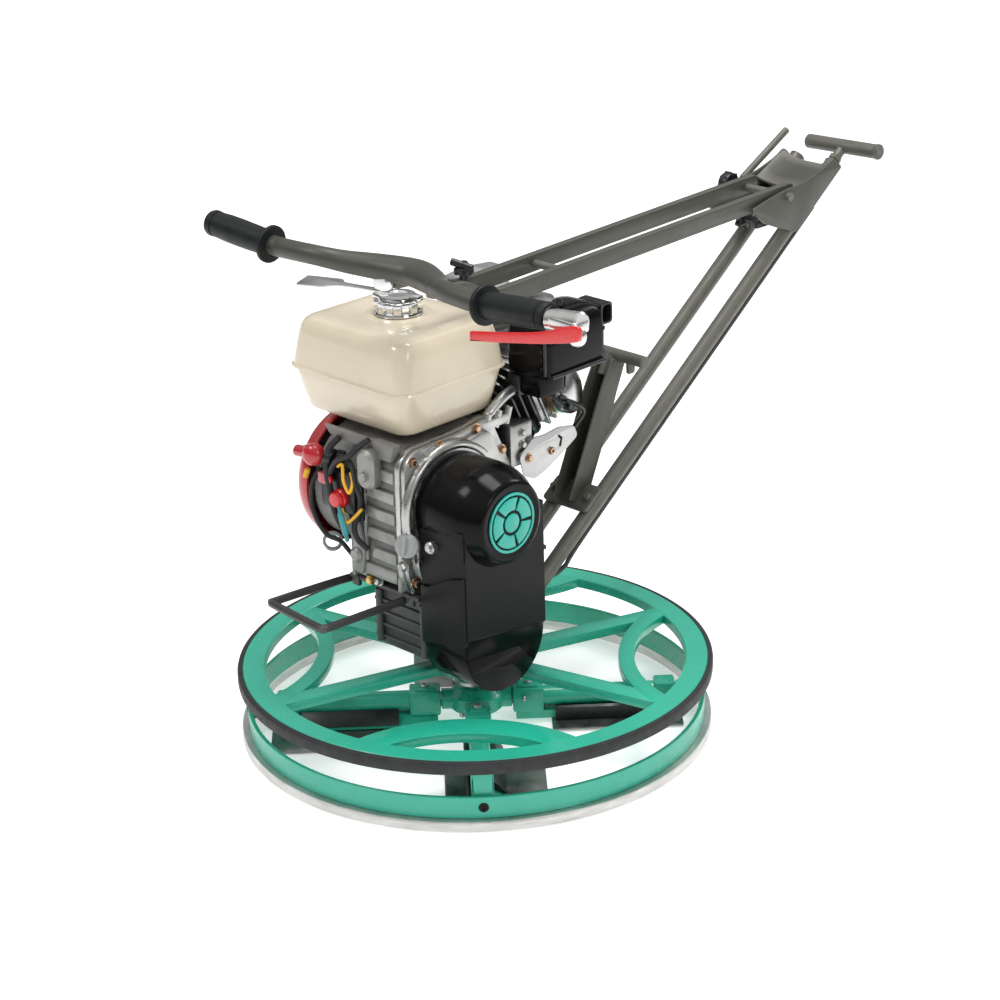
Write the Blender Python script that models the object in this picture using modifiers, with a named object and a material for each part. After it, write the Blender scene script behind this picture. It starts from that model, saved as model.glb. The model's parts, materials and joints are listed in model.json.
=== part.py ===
"""Walk-behind power trowel, 600 mm ring, modelled as separate named sub-parts.

Working frame of the numbers below: metres, +Z up, the rotor axis at X = Y = 0 and the floor at
Z = 0.  +X is the belt-cover side and +Y is the operator's side.  One empty carries the whole
machine and moves it so that the middle of its bounding box stands over the world origin.
"""
import math

import bmesh
import bpy
from mathutils import Matrix, Vector

# ---------------------------------------------------------------- driving dimensions
GAP = 0.0003                    # clearance between pieces that touch

RING_R = 0.300                  # bare wear band, outside
BAND_H = 0.0140
HOOP_R = 0.2915                 # painted lower hoop, outside
HOOP_IN_R = 0.2865
HOOP_TOP = 0.042
GUARD_R = 0.2952                # fixed upper guard, outside
GUARD_IN_R = 0.267
GUARD_TOP = 0.093
GUARD_PLATE = 0.006
BUMPER_R = 0.302
BUMPER_BOTTOM = 0.076

ARM_COUNT = 4
ARM_START = math.radians(-43)   # direction of the first rotor arm
ARM_Z = 0.031
ARM_R = 0.010
BLADE_REACH = (0.095, 0.262)    # blade from and to, along its arm
BLADE_LEAD = 0.045              # blade width ahead of the arm
BLADE_TRAIL = 0.080             # and behind it
BLADE_Z = 0.0010
BLADE_T = 0.0028

CRANK_Y = -0.047                # engine shaft and gearbox input shaft, above each other
CRANK_Z = 0.318
WORM_Z = 0.155
SHAFT_R = 0.012                 # rotor drive shaft
PULLEY_X = 0.073                # middle of the belt
CASE_X = (-0.090, 0.0)          # crankcase from and to
FAN_SIDE_X = -0.150             # end of its round flywheel side
COVER_X = (0.0205, 0.100)       # belt cover from and to
PLATE_Z = (0.206, 0.212)        # engine bed plate

TUBE_X = 0.030                  # half the distance between the two handle tubes
TUBE_R = 0.0103
TUBE_LOW = Vector((0, 0.0725, 0.1580))
TUBE_TOP = Vector((0, 0.672, 0.5998))
FOLD_Y = 0.560                  # fold hinge of the upper handle
FOLD_Z = 0.580
BAR_X = 0.031                   # half the distance between the upper bars
BAR_OUTLINE = [(0.583, 0.5710), (0.583, 0.5940), (0.012, 0.5778), (-0.026, 0.6015), (-0.084, 0.6015),
               (-0.084, 0.5925), (-0.034, 0.5895), (-0.008, 0.5545)]
BAR_W = 0.011                   # their thickness
BAR_R = 0.0122                  # bent handlebar, before it is flattened in the middle
TUBE_WALL = 0.0020
GRIP_R = 0.017
LEFT_END = -0.302               # outer side of the bumper
RIGHT_END = 0.362               # outer end of the dead-man lever
BACK_END = 0.7086               # furthest point of the pitch handle

MACHINE = "power_trowel"
SHIFT = Vector((-(LEFT_END + RIGHT_END) / 2, -(BACK_END - BUMPER_R) / 2, 0))

# ---------------------------------------------------------------- materials
PAINT = {
    "teal_paint": ((0.055, 0.53, 0.40), 0.30, 0.0),
    "bare_steel": ((0.62, 0.60, 0.58), 0.35, 1.0),
    "blade_steel": ((0.32, 0.31, 0.30), 0.38, 1.0),
    "black_rubber": ((0.020, 0.020, 0.021), 0.70, 0.0),
    "black_cover": ((0.012, 0.012, 0.013), 0.18, 0.0),
    "black_plastic": ((0.022, 0.022, 0.024), 0.45, 0.0),
    "dark_casting": ((0.085, 0.085, 0.082), 0.55, 0.7),
    "bright_casting": ((0.58, 0.58, 0.57), 0.32, 1.0),
    "grey_paint": ((0.125, 0.125, 0.108), 0.45, 0.0),
    "cream_tank": ((0.75, 0.66, 0.50), 0.28, 0.0),
    "red_paint": ((0.55, 0.012, 0.016), 0.30, 0.0),
    "bright_sheet": ((0.66, 0.66, 0.65), 0.25, 1.0),
    "chrome": ((0.78, 0.78, 0.78), 0.12, 1.0),
    "brass": ((0.55, 0.38, 0.14), 0.35, 1.0),
}


def material(slot):
    """One Principled material for each slot, made the first time it is asked for."""
    found = bpy.data.materials.get(slot)
    if found:
        return found
    colour, roughness, metallic = PAINT[slot]
    made = bpy.data.materials.new(slot)
    made.use_nodes = True
    shader = made.node_tree.nodes["Principled BSDF"]
    shader.inputs["Base Color"].default_value = (*colour, 1)
    shader.inputs["Roughness"].default_value = roughness
    shader.inputs["Metallic"].default_value = metallic
    return made


# ---------------------------------------------------------------- scene and pivots
def clear_scene():
    for old in list(bpy.data.objects):
        bpy.data.objects.remove(old)


def new_collection(name):
    made = bpy.data.collections.new(name)
    bpy.context.scene.collection.children.link(made)
    return made


clear_scene()
PARTS = new_collection(MACHINE)
CUTTERS = new_collection("cutters")


def empty(name, at, parent=None, turn=(0, 0, 0)):
    """An empty that carries the pieces of one body; it stands on that body's joint."""
    made = bpy.data.objects.new(name, None)
    PARTS.objects.link(made)
    made.parent = parent
    made.location = Vector(at) - (Vector(parent["at"]) if parent else Vector((0, 0, 0)))
    made.rotation_euler = turn
    made["at"] = tuple(Vector(at)) if parent else (0.0, 0.0, 0.0)
    return made


MACHINE_EMPTY = empty("machine", SHIFT)


def adopt(piece, slot, body):
    """Name the finish, shade the piece and hang it on its body's empty."""
    piece.data.materials.clear()
    piece.data.materials.append(material(slot))
    piece.parent = body
    piece.location = piece.location - Vector(body["at"])
    return piece


def finish(piece, slot, body=None, smooth=True):
    """Put a piece in the parts collection under its body."""
    body = body or MACHINE_EMPTY
    for owner in list(piece.users_collection):
        owner.objects.unlink(piece)
    PARTS.objects.link(piece)
    adopt(piece, slot, body)
    if smooth and piece.type == "MESH":
        piece.data.shade_smooth()
        piece.data.set_sharp_from_angle(angle=math.radians(35))
    return piece


def tool(piece, body):
    """Hide a cutter or a joined shape in the cutters' collection, beside its piece."""
    for owner in list(piece.users_collection):
        owner.objects.unlink(piece)
    CUTTERS.objects.link(piece)
    piece.hide_render = True
    piece.display_type = "WIRE"
    piece.parent = body
    piece.location = piece.location - Vector(body["at"])


def combine(piece, others, operation, solver="EXACT"):
    """Boolean each of the other shapes with the piece, which is already on its body."""
    for other in others:
        tool(other, piece.parent)
        step = piece.modifiers.new(operation.lower() + "_" + other.name, "BOOLEAN")
        step.operation = operation
        step.solver = solver
        step.object = other
    return piece


def join(piece, *others, solver="EXACT"):
    return combine(piece, others, "UNION", solver)


def cut(piece, *others, solver="EXACT"):
    return combine(piece, others, "DIFFERENCE", solver)


# ---------------------------------------------------------------- shapes
def from_bmesh(name, mesh, at=(0, 0, 0)):
    data = bpy.data.meshes.new(name)
    mesh.to_mesh(data)
    mesh.free()
    made = bpy.data.objects.new(name, data)
    bpy.context.scene.collection.objects.link(made)
    made.location = at
    return made


def box(name, low, high, bevel=0.0):
    """A box between two corners, with its origin in its middle."""
    low, high = Vector(low), Vector(high)
    mesh = bmesh.new()
    bmesh.ops.create_cube(mesh, size=1.0)
    bmesh.ops.scale(mesh, vec=high - low, verts=mesh.verts)
    made = from_bmesh(name, mesh, (low + high) / 2)
    if bevel:
        edge = made.modifiers.new("bevel", "BEVEL")
        edge.width = bevel
        edge.segments = 2
    return made


AXIS_TURN = {
    "X": Matrix.Rotation(math.pi / 2, 4, "Y"),
    "Y": Matrix.Rotation(-math.pi / 2, 4, "X"),
    "Z": Matrix.Identity(4),
}


def rod(name, axis, low, high, radius, centre=(0, 0), sides=24):
    """A round bar along a row axis, from low to high; centre holds the other two coordinates."""
    mesh = bmesh.new()
    bmesh.ops.create_cone(mesh, cap_ends=True, segments=sides, radius1=radius, radius2=radius, depth=high - low)
    bmesh.ops.transform(mesh, matrix=AXIS_TURN[axis], verts=mesh.verts)
    middle = (low + high) / 2
    a, b = centre
    place = {"X": (middle, a, b), "Y": (a, middle, b), "Z": (a, b, middle)}[axis]
    return from_bmesh(name, mesh, place)


def bar_between(name, start, end, width, height, bevel=0.0):
    """A straight box-section bar between two points that share their X."""
    start, end = Vector(start), Vector(end)
    length = (end - start).length
    mesh = bmesh.new()
    bmesh.ops.create_cube(mesh, size=1.0)
    bmesh.ops.scale(mesh, vec=(width, length, height), verts=mesh.verts)
    slope = math.atan2(end.z - start.z, end.y - start.y)
    bmesh.ops.transform(mesh, matrix=Matrix.Rotation(slope, 4, "X"), verts=mesh.verts)
    made = from_bmesh(name, mesh, (start + end) / 2)
    if bevel:
        edge = made.modifiers.new("bevel", "BEVEL")
        edge.width = bevel
        edge.segments = 2
    return made


def turned(name, profile, steps=64, at=(0, 0, 0), axis="Z"):
    """A closed profile of (radius, height) points, outer side first and downwards, turned."""
    data = bpy.data.meshes.new(name)
    pairs = [(i, (i + 1) % len(profile)) for i in range(len(profile))]
    edges = [(a, b) for a, b in pairs if profile[a][0] or profile[b][0]]
    data.from_pydata([(r, 0, z) for r, z in profile], edges, [])
    made = bpy.data.objects.new(name, data)
    bpy.context.scene.collection.objects.link(made)
    screw = made.modifiers.new("screw", "SCREW")
    screw.steps = steps
    screw.render_steps = steps
    screw.use_merge_vertices = True
    screw.merge_threshold = 0.00001
    return frozen(made, at, AXIS_TURN[axis])


def frozen(source, at=(0, 0, 0), turn=Matrix.Identity(4)):
    """The evaluated shape of a curve or a modified mesh, as a plain closed mesh."""
    bpy.context.view_layer.update()
    graph = bpy.context.evaluated_depsgraph_get()
    data = bpy.data.meshes.new_from_object(source.evaluated_get(graph))
    name = source.name
    place = source.matrix_world.copy()
    bpy.data.objects.remove(source)
    mesh = bmesh.new()
    mesh.from_mesh(data)
    bpy.data.meshes.remove(data)
    bmesh.ops.remove_doubles(mesh, verts=mesh.verts, dist=0.00001)
    bmesh.ops.transform(mesh, matrix=turn @ place, verts=mesh.verts)
    bmesh.ops.recalc_face_normals(mesh, faces=mesh.faces)
    return from_bmesh(name, mesh, at)


def plate(name, outline, axis, low, high, holes=()):
    """A flat outline with optional holes, given thickness along a row axis.

    For axis X the outline is (Y, Z), for Y it is (X, Z) and for Z it is (X, Y)."""
    curve = bpy.data.curves.new(name, "CURVE")
    curve.dimensions = "2D"
    curve.fill_mode = "BOTH"
    curve.extrude = (high - low) / 2
    for points in (outline, *holes):
        spline = curve.splines.new("POLY")
        spline.points.add(len(points) - 1)
        for point, (u, v) in zip(spline.points, points):
            point.co = (u, v, 0, 1)
        spline.use_cyclic_u = True
    source = bpy.data.objects.new(name, curve)
    bpy.context.scene.collection.objects.link(source)
    middle = (low + high) / 2
    stand = {
        "X": Matrix(((0, 0, 1, 0), (1, 0, 0, 0), (0, 1, 0, 0), (0, 0, 0, 1))),
        "Y": Matrix(((1, 0, 0, 0), (0, 0, -1, 0), (0, 1, 0, 0), (0, 0, 0, 1))),
        "Z": Matrix.Identity(4),
    }[axis]
    at = {"X": (middle, 0, 0), "Y": (0, middle, 0), "Z": (0, 0, middle)}[axis]
    return frozen(source, at, stand)


def tube(name, points, radius, sides_level=2, scale=None):
    """A round bar through points; scale gives each point's share of the radius."""
    curve = bpy.data.curves.new(name, "CURVE")
    curve.dimensions = "3D"
    curve.bevel_depth = radius
    curve.bevel_resolution = sides_level
    curve.use_fill_caps = True
    spline = curve.splines.new("POLY")
    spline.points.add(len(points) - 1)
    for index, (point, place) in enumerate(zip(spline.points, points)):
        point.co = (*place, 1)
        point.radius = scale[index] if scale else 1.0
    source = bpy.data.objects.new(name, curve)
    bpy.context.scene.collection.objects.link(source)
    return frozen(source)


def arc(centre, radius, start, end, steps):
    """Points along an arc in a plane; the angles are in radians."""
    turns = [start + (end - start) * i / steps for i in range(steps + 1)]
    return [(centre[0] + radius * math.cos(t), centre[1] + radius * math.sin(t)) for t in turns]


def smooth_route(points, steps=6):
    """Catmull-Rom points through a hand-made route."""
    ends = [points[0], *points, points[-1]]
    route = []
    for a, b, c, d in zip(ends, ends[1:], ends[2:], ends[3:]):
        a, b, c, d = Vector(a), Vector(b), Vector(c), Vector(d)
        for i in range(steps):
            t = i / steps
            route.append(0.5 * (2 * b + (c - a) * t + (2 * a - 5 * b + 4 * c - d) * t ** 2
                                + (3 * b - a - 3 * c + d) * t ** 3))
    route.append(Vector(points[-1]))
    return route


def rounded_rectangle(half_x, half_y, radius, centre=(0, 0), corner_steps=3):
    """The outline of a rectangle with round corners, anticlockwise."""
    cx, cy = centre
    outline = []
    for quarter, (sx, sy) in enumerate(((1, 1), (-1, 1), (-1, -1), (1, -1))):
        corner = (cx + sx * (half_x - radius), cy + sy * (half_y - radius))
        start = quarter * math.pi / 2
        outline += arc(corner, radius, start, start + math.pi / 2, corner_steps)
    return outline


def loft(name, sections):
    """A closed skin over outlines with the same point count; each is (height, outline)."""
    mesh = bmesh.new()
    loops = [[mesh.verts.new((x, y, z)) for x, y in outline] for z, outline in sections]
    for low, high in zip(loops, loops[1:]):
        for i in range(len(low)):
            j = (i + 1) % len(low)
            mesh.faces.new((low[i], low[j], high[j], high[i]))
    mesh.faces.new(reversed(loops[0]))
    mesh.faces.new(loops[-1])
    return from_bmesh(name, mesh)


# ---------------------------------------------------------------- rotor
def make_rings(rotor):
    band = turned("wear_ring", [(RING_R, BAND_H - GAP), (RING_R, 0.0015), (RING_R - 0.0015, 0),
                                (HOOP_IN_R, 0), (HOOP_IN_R, BAND_H - GAP)], 64)
    finish(band, "bare_steel", rotor)
    hoop = turned("lower_ring", [(HOOP_R, HOOP_TOP), (HOOP_R, BAND_H), (HOOP_IN_R, BAND_H),
                                 (HOOP_IN_R, HOOP_TOP)], 64)
    finish(hoop, "teal_paint", rotor)


HUB_R = 0.034
HUB_Z = (0.015, 0.0515)
POST_R = (0.270, HOOP_IN_R - 0.0011)   # upright end of each arm, inside the hoop
POST_TOP = 0.074


def make_spider(rotor):
    """Cast hub with four round arms; each arm ends in an upright that bolts to the hoop."""
    hub = finish(rod("rotor_spider", "Z", *HUB_Z, HUB_R, sides=32), "teal_paint", rotor)
    for index in range(ARM_COUNT):
        turn = ARM_START + index * math.tau / ARM_COUNT
        arm = rod(f"arm_{index}", "X", 0.020, 0.278, ARM_R, (0, ARM_Z), sides=12)
        post = box(f"arm_post_{index}", (POST_R[0], -0.0115, 0.0185), (POST_R[1], 0.0115, POST_TOP))
        for shape in (arm, post):
            shape.matrix_world = Matrix.Rotation(turn, 4, "Z") @ Matrix.Translation(shape.location)
            join(hub, shape, solver="MANIFOLD")
    bore = rod("hub_bore", "Z", 0.030, 0.060, SHAFT_R + GAP)
    cut(hub, bore, solver="MANIFOLD")


def make_drive_shaft(rotor):
    shaft = rod("output_shaft", "Z", 0.0305, 0.192, SHAFT_R)
    finish(shaft, "bare_steel", rotor)
    teeth = 20
    outline = []
    for index in range(teeth):
        for share, radius in ((-0.30, 0.0345), (-0.14, 0.0372), (0.14, 0.0372), (0.30, 0.0345)):
            turn = (index + share) * math.tau / teeth
            outline.append((radius * math.cos(turn), radius * math.sin(turn)))
    bore = arc((0, 0), SHAFT_R + GAP, 0, -math.tau * 23 / 24, 23)
    wheel = plate("worm_wheel", outline, "Z", WORM_Z - 0.008, WORM_Z + 0.008, [bore])
    finish(wheel, "brass", rotor, smooth=False)


CLAMP_REACH = (0.046, 0.086)
CLAMP_HALF = 0.0165


def make_blades(rotor):
    """Each blade hangs from a sleeve that turns on its arm, so that all four tilt together."""
    for index in range(ARM_COUNT):
        turn = ARM_START + index * math.tau / ARM_COUNT
        tilt = empty(f"blade_tilt_{index + 1}", (0, 0, ARM_Z), rotor, (0, 0, turn))
        name = f"blade_holder_{index + 1}"
        holder = box(name, (CLAMP_REACH[0], -CLAMP_HALF, 0.0145), (CLAMP_REACH[1], CLAMP_HALF, 0.0475), 0.002)
        finish(holder, "teal_paint", tilt)
        spine = box(name + "_spine", (CLAMP_REACH[0] + 0.004, -0.014, 0.0045), (0.256, 0.026, 0.0155))
        far_sleeve = box(name + "_sleeve", (0.226, -0.014, 0.010), (0.254, 0.014, 0.0475))
        join(holder, spine, far_sleeve)
        bore = rod(name + "_bore", "X", 0.03, 0.265, ARM_R + 2 * GAP, (0, ARM_Z), sides=12)
        cut(holder, bore)
        corner = 0.012
        low, high = BLADE_REACH
        middle = ((low + high) / 2, (BLADE_TRAIL - BLADE_LEAD) / 2)
        outline = rounded_rectangle((high - low) / 2, (BLADE_TRAIL + BLADE_LEAD) / 2, corner, middle)
        blade = plate(f"trowel_blade_{index + 1}", outline, "Z", BLADE_Z, BLADE_Z + BLADE_T)
        finish(blade, "blade_steel", tilt, smooth=False)


# ---------------------------------------------------------------- pitch linkage at the rotor
COLLAR_Z = (0.0575, 0.0655)
YOKE_PIVOT = Vector((0, 0.078, 0.0710))


def make_pitch_linkage(collar_body, yoke_body):
    """A collar on the drive shaft presses the blade holders; a forked lever presses the collar."""
    collar = turned("pitch_collar", [(0.030, COLLAR_Z[1]), (0.030, COLLAR_Z[0] + 0.002), (0.028, COLLAR_Z[0]),
                                     (0.0135, COLLAR_Z[0]), (0.0135, COLLAR_Z[1])], 32)
    finish(collar, "bare_steel", collar_body)
    fork = box("pitch_yoke", (-0.026, -0.006, 0.0685), (0.026, 0.084, 0.0735))
    finish(fork, "teal_paint", yoke_body, smooth=False)
    upright = box("yoke_upright", (-0.009, 0.074, 0.0700), (0.009, 0.0835, 0.1600))
    join(fork, upright)
    round_end = rod("yoke_round", "Z", 0.060, 0.080, 0.0155)
    slot = box("yoke_slot", (-0.0155, -0.020, 0.060), (0.0155, 0.0, 0.080))
    cut(fork, round_end, slot)


# ---------------------------------------------------------------- guard
def rib_outline(direction, lens_apex, lens_half, inner_apex, inner_half):
    """A curved rib between two circles that both meet the guard ring; angles in degrees."""
    def circle(apex, half):
        x = GUARD_IN_R * math.cos(math.radians(half))
        y = GUARD_IN_R * math.sin(math.radians(half))
        centre = (x * x + y * y - apex * apex) / (2 * (x - apex))
        return centre, centre - apex

    def side(apex, half, steps):
        centre, radius = circle(apex, half)
        reach = GUARD_IN_R + 0.010
        spread = math.acos((centre ** 2 + radius ** 2 - reach ** 2) / (2 * centre * radius))
        return arc((centre, 0), radius, math.pi - spread, math.pi + spread, steps)

    outline = side(inner_apex, inner_half, 14) + side(lens_apex, lens_half, 14)[::-1]
    c, s = math.cos(math.radians(direction)), math.sin(math.radians(direction))
    return [(c * x - s * y, s * x + c * y) for x, y in outline]


RIBS = (                        # direction, lens apex and half angle, inner apex and half angle
    ("front", -47, 0.224, 20, 0.184, 29),
    ("right", 42, 0.202, 26, 0.182, 32),
    ("back", 133, 0.224, 20, 0.184, 29),
    ("left", -138.5, 0.202, 26, 0.182, 32),
)
SPOKES = (13, 71, -108, -169)
COLLAR_R = (0.040, 0.0535)      # middle ring of the guard
SPOKE_W = 0.026


def make_guard():
    """One welded guard: angle-section ring, four curved ribs, four spokes and a middle ring."""
    ring = turned("guard_ring", [(GUARD_R, GUARD_TOP), (GUARD_R, BUMPER_BOTTOM), (0.290, BUMPER_BOTTOM),
                                 (0.290, GUARD_TOP - GUARD_PLATE), (GUARD_IN_R, GUARD_TOP - GUARD_PLATE),
                                 (GUARD_IN_R, GUARD_TOP)], 72)
    finish(ring, "teal_paint")
    for name, direction, *numbers in RIBS:
        join(ring, plate(f"rib_{name}", rib_outline(direction, *numbers), "Z",
                         GUARD_TOP - GUARD_PLATE + 0.0004, GUARD_TOP - 0.0002))
    for index, direction in enumerate(SPOKES):
        spoke = box(f"spoke_{index}", (0.046, -SPOKE_W / 2, 0.0800), (0.274, SPOKE_W / 2, GUARD_TOP - 0.0006))
        turn = Matrix.Rotation(math.radians(direction), 4, "Z")
        spoke.matrix_world = turn @ Matrix.Translation(spoke.location)
        join(ring, spoke)
    low, high = COLLAR_R
    middle = turned("guard_middle", [(high, 0.0975), (high, 0.0795), (low, 0.0795), (low, 0.0975)], 32)
    join(ring, middle)
    bumper = turned("bumper", [(BUMPER_R, GUARD_TOP - 0.001), (BUMPER_R, BUMPER_BOTTOM + 0.001),
                               (BUMPER_R - 0.001, BUMPER_BOTTOM), (GUARD_R + GAP, BUMPER_BOTTOM),
                               (GUARD_R + GAP, GUARD_TOP - 0.0005), (BUMPER_R - 0.001, GUARD_TOP - 0.0005)], 72)
    finish(bumper, "black_rubber")


# ---------------------------------------------------------------- gearbox
BOX_X = (-0.078, 0.0195)
BOX_Y = (-0.092, 0.062)
BOX_Z = (0.118, 0.1985)


def make_gearbox(worm_body):
    """Worm gearbox: the housing is open above the wheel, and its cover closes it."""
    housing = box("gearbox_housing", (BOX_X[0], BOX_Y[0], BOX_Z[0]), (BOX_X[1], BOX_Y[1], BOX_Z[1]), 0.004)
    finish(housing, "dark_casting")
    nose = rod("gearbox_nose", "Z", 0.0985, 0.122, 0.052, sides=32)
    wheel_side = rod("gearbox_side", "Z", BOX_Z[0] + 0.001, BOX_Z[1] - 0.001, 0.052, sides=32)
    join(housing, nose, wheel_side)
    room = rod("gearbox_room", "Z", 0.124, 0.210, 0.0425, sides=32)
    seat = rod("gearbox_seat", "Z", 0.090, 0.130, 0.0245)
    tunnel = rod("worm_tunnel", "X", BOX_X[0] + 0.010, 0.040, 0.0135, (CRANK_Y, WORM_Z))
    cut(housing, room, seat, tunnel)
    cover = box("gearbox_cover", (BOX_X[0], BOX_Y[0], BOX_Z[1] + GAP), (0.0505, BOX_Y[1], PLATE_Z[0] - GAP))
    finish(cover, "bright_casting", smooth=False)
    bearing = turned("output_bearing", [(0.0242, 0.1165), (0.0242, 0.1015), (SHAFT_R + GAP, 0.1015),
                                        (SHAFT_R + GAP, 0.1165)], 32)
    finish(bearing, "bare_steel")

    low_x, high_x = BOX_X[0] + 0.012, 0.086
    profile = [(0.0085, high_x), (0.0085, 0.031)]
    for index in range(6):
        base = 0.030 - index * 0.010
        profile += [(0.0093, base - 0.001), (0.0093, base - 0.004), (0.0075, base - 0.007)]
    profile += [(0.0085, -0.031), (0.0085, low_x), (0.0, low_x), (0.0, high_x)]
    worm = turned("worm_shaft", profile, 16, (0, CRANK_Y, WORM_Z), "X")
    finish(worm, "bare_steel", worm_body)
    finish(pulley("input_pulley", 0.046, 0.037, 0.0088, WORM_Z), "bare_steel", worm_body)


def pulley(name, radius, groove, bore, height):
    """A V-belt pulley on a shaft along X at the belt's plane."""
    half = 0.010
    profile = [(radius, PULLEY_X + half), (radius, PULLEY_X + 0.0065), (groove, PULLEY_X + 0.004),
               (groove, PULLEY_X - 0.004), (radius, PULLEY_X - 0.0065), (radius, PULLEY_X - half),
               (bore, PULLEY_X - half), (bore, PULLEY_X + half)]
    return turned(name, profile, 32, (0, CRANK_Y, height), "X")


# ---------------------------------------------------------------- engine
CASE_OUTLINE = [(-0.118, 0.240), (-0.106, 0.2123), (0.060, 0.2123), (0.0692, 0.235), (0.0692, 0.3171),
                (0.027, 0.4075), (-0.020, 0.4000), (-0.100, 0.3980), (-0.118, 0.3820)]
FAN_SIDE_R = 0.080
CONTROL_Y = -0.130              # front of the box that carries the switch and the fuel lever
SLOPE = math.radians(25)        # cylinder above the horizontal, towards the operator


def inset(outline, amount):
    """The same outline drawn in towards its middle."""
    cy = sum(p[0] for p in outline) / len(outline)
    cz = sum(p[1] for p in outline) / len(outline)
    return [(y + amount * (1 if y < cy else -1), z + amount * (1 if z < cz else -1)) for y, z in outline]


def slanted(shape):
    """Lay a shape made along +Y from the crank axis up to the cylinder's slope."""
    pivot = Matrix.Translation((0, CRANK_Y, CRANK_Z))
    shape.matrix_world = pivot @ Matrix.Rotation(SLOPE, 4, "X") @ Matrix.Translation(shape.location)
    return shape


def make_engine(crank_body):
    bed = box("bed_plate", (-0.106, -0.112, PLATE_Z[0]), (0.019, 0.115, PLATE_Z[1]))
    finish(bed, "grey_paint", smooth=False)
    case = plate("crankcase", CASE_OUTLINE, "X", *CASE_X)
    finish(case, "dark_casting")
    fan_side = rod("fan_side", "X", FAN_SIDE_X, CASE_X[0] + 0.002, FAN_SIDE_R, (CRANK_Y, CRANK_Z), sides=40)
    controls = box("control_box", (-0.132, CONTROL_Y, 0.302), (-0.070, -0.100, 0.3570))
    join(case, fan_side, controls)
    cut(case, rod("case_bore", "X", -0.20, 0.05, 0.030, (CRANK_Y, CRANK_Z)))
    side = plate("crankcase_cover", inset(CASE_OUTLINE, 0.002), "X", CASE_X[1] + GAP, COVER_X[0] - GAP)
    finish(side, "bright_casting")
    cut(side, rod("side_bore", "X", -0.02, 0.05, 0.0125, (CRANK_Y, CRANK_Z)))

    barrel = slanted(box("cylinder", (-0.128, 0.1060, -0.046), (-0.022, 0.196, 0.040)))
    finish(barrel, "dark_casting", smooth=False)
    for index in range(5):
        start = 0.113 + index * 0.017
        join(barrel, slanted(box(f"fin_{index}", (-0.140, start, -0.056), (-0.010, start + 0.006, 0.0425))))
    head = slanted(box("cylinder_head", (-0.132, 0.1965, -0.050), (-0.018, 0.236, 0.048), 0.006))
    finish(head, "bright_casting")
    plug = slanted(rod("spark_plug", "Y", 0.2365, 0.275, 0.011, (-0.075, 0.020), sides=16))
    finish(plug, "black_rubber")

    shaft = turned("crankshaft", [(0.0110, 0.096), (0.0110, -0.010), (0.022, -0.012), (0.022, -0.120),
                                  (0.0110, -0.122), (0.0110, -0.1670), (0.0, -0.1670), (0.0, 0.096)],
                   16, (0, CRANK_Y, CRANK_Z), "X")
    finish(shaft, "bare_steel", crank_body)
    finish(pulley("clutch_pulley", 0.034, 0.025, 0.0113, CRANK_Z), "bare_steel", crank_body)
    wheel = turned("flywheel", [(0.076, -0.1535), (0.076, -0.161), (0.060, -0.163), (0.060, -0.166),
                                (0.0113, -0.166), (0.0113, -0.1535)], 32, (0, CRANK_Y, CRANK_Z), "X")
    finish(wheel, "bright_casting", crank_body)


BELT_T = 0.008


def make_belt():
    """The belt runs straight between its two pulleys and round them."""
    def loop(top, bottom):
        tilt = math.asin((bottom - top) / (CRANK_Z - WORM_Z))
        upper = arc((CRANK_Y, CRANK_Z), top, tilt, math.pi - tilt, 14)
        lower = arc((CRANK_Y, WORM_Z), bottom, math.pi - tilt, math.tau + tilt, 16)
        return upper + lower

    outer = loop(0.0253 + BELT_T, 0.0373 + BELT_T)
    inner = loop(0.0253, 0.0373)
    belt = plate("drive_belt", outer, "X", PULLEY_X - 0.0034, PULLEY_X + 0.0034, [inner])
    finish(belt, "black_rubber")


COVER_LOW = (-0.045, 0.155, 0.070)      # lower lobe of the belt cover: Y, Z and radius
COVER_TOP = (-0.045, 0.320, 0.066)
CAP_R = 0.052


def cover_outline(grow):
    """Two round ends and the straight sides between them."""
    y, low, low_r = COVER_LOW
    _, top, top_r = COVER_TOP
    return arc((y, top), top_r + grow, 0, math.pi, 16) + arc((y, low), low_r + grow, math.pi, math.tau, 16)


def make_belt_cover():
    """Black moulded cover: open towards the engine, with a round cap over the engine shaft."""
    back, front = COVER_X
    wall = 0.0025
    cover = plate("belt_cover", cover_outline(0), "X", back, front)
    finish(cover, "black_cover")
    y, z, _ = COVER_TOP
    join(cover, rod("cover_cap", "X", front - 0.004, 0.120, CAP_R, (y - 0.005, z), sides=32))
    room = plate("cover_room", cover_outline(-wall), "X", back - 0.01, front - wall)
    cap_room = rod("cap_room", "X", front - 0.010, 0.1175, CAP_R - wall, (y - 0.005, z), sides=32)
    gearbox_side = box("cover_notch", (back - 0.010, -0.100, 0.060), (0.0545, 0.060, 0.2065))
    cut(cover, room, cap_room, gearbox_side)


TANK_MIDDLE = (-0.100, -0.020)
TANK_WALL = 0.0025
TANK_Z = (0.4103, 0.530)
TANK_SEAM_Z = 0.466


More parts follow.
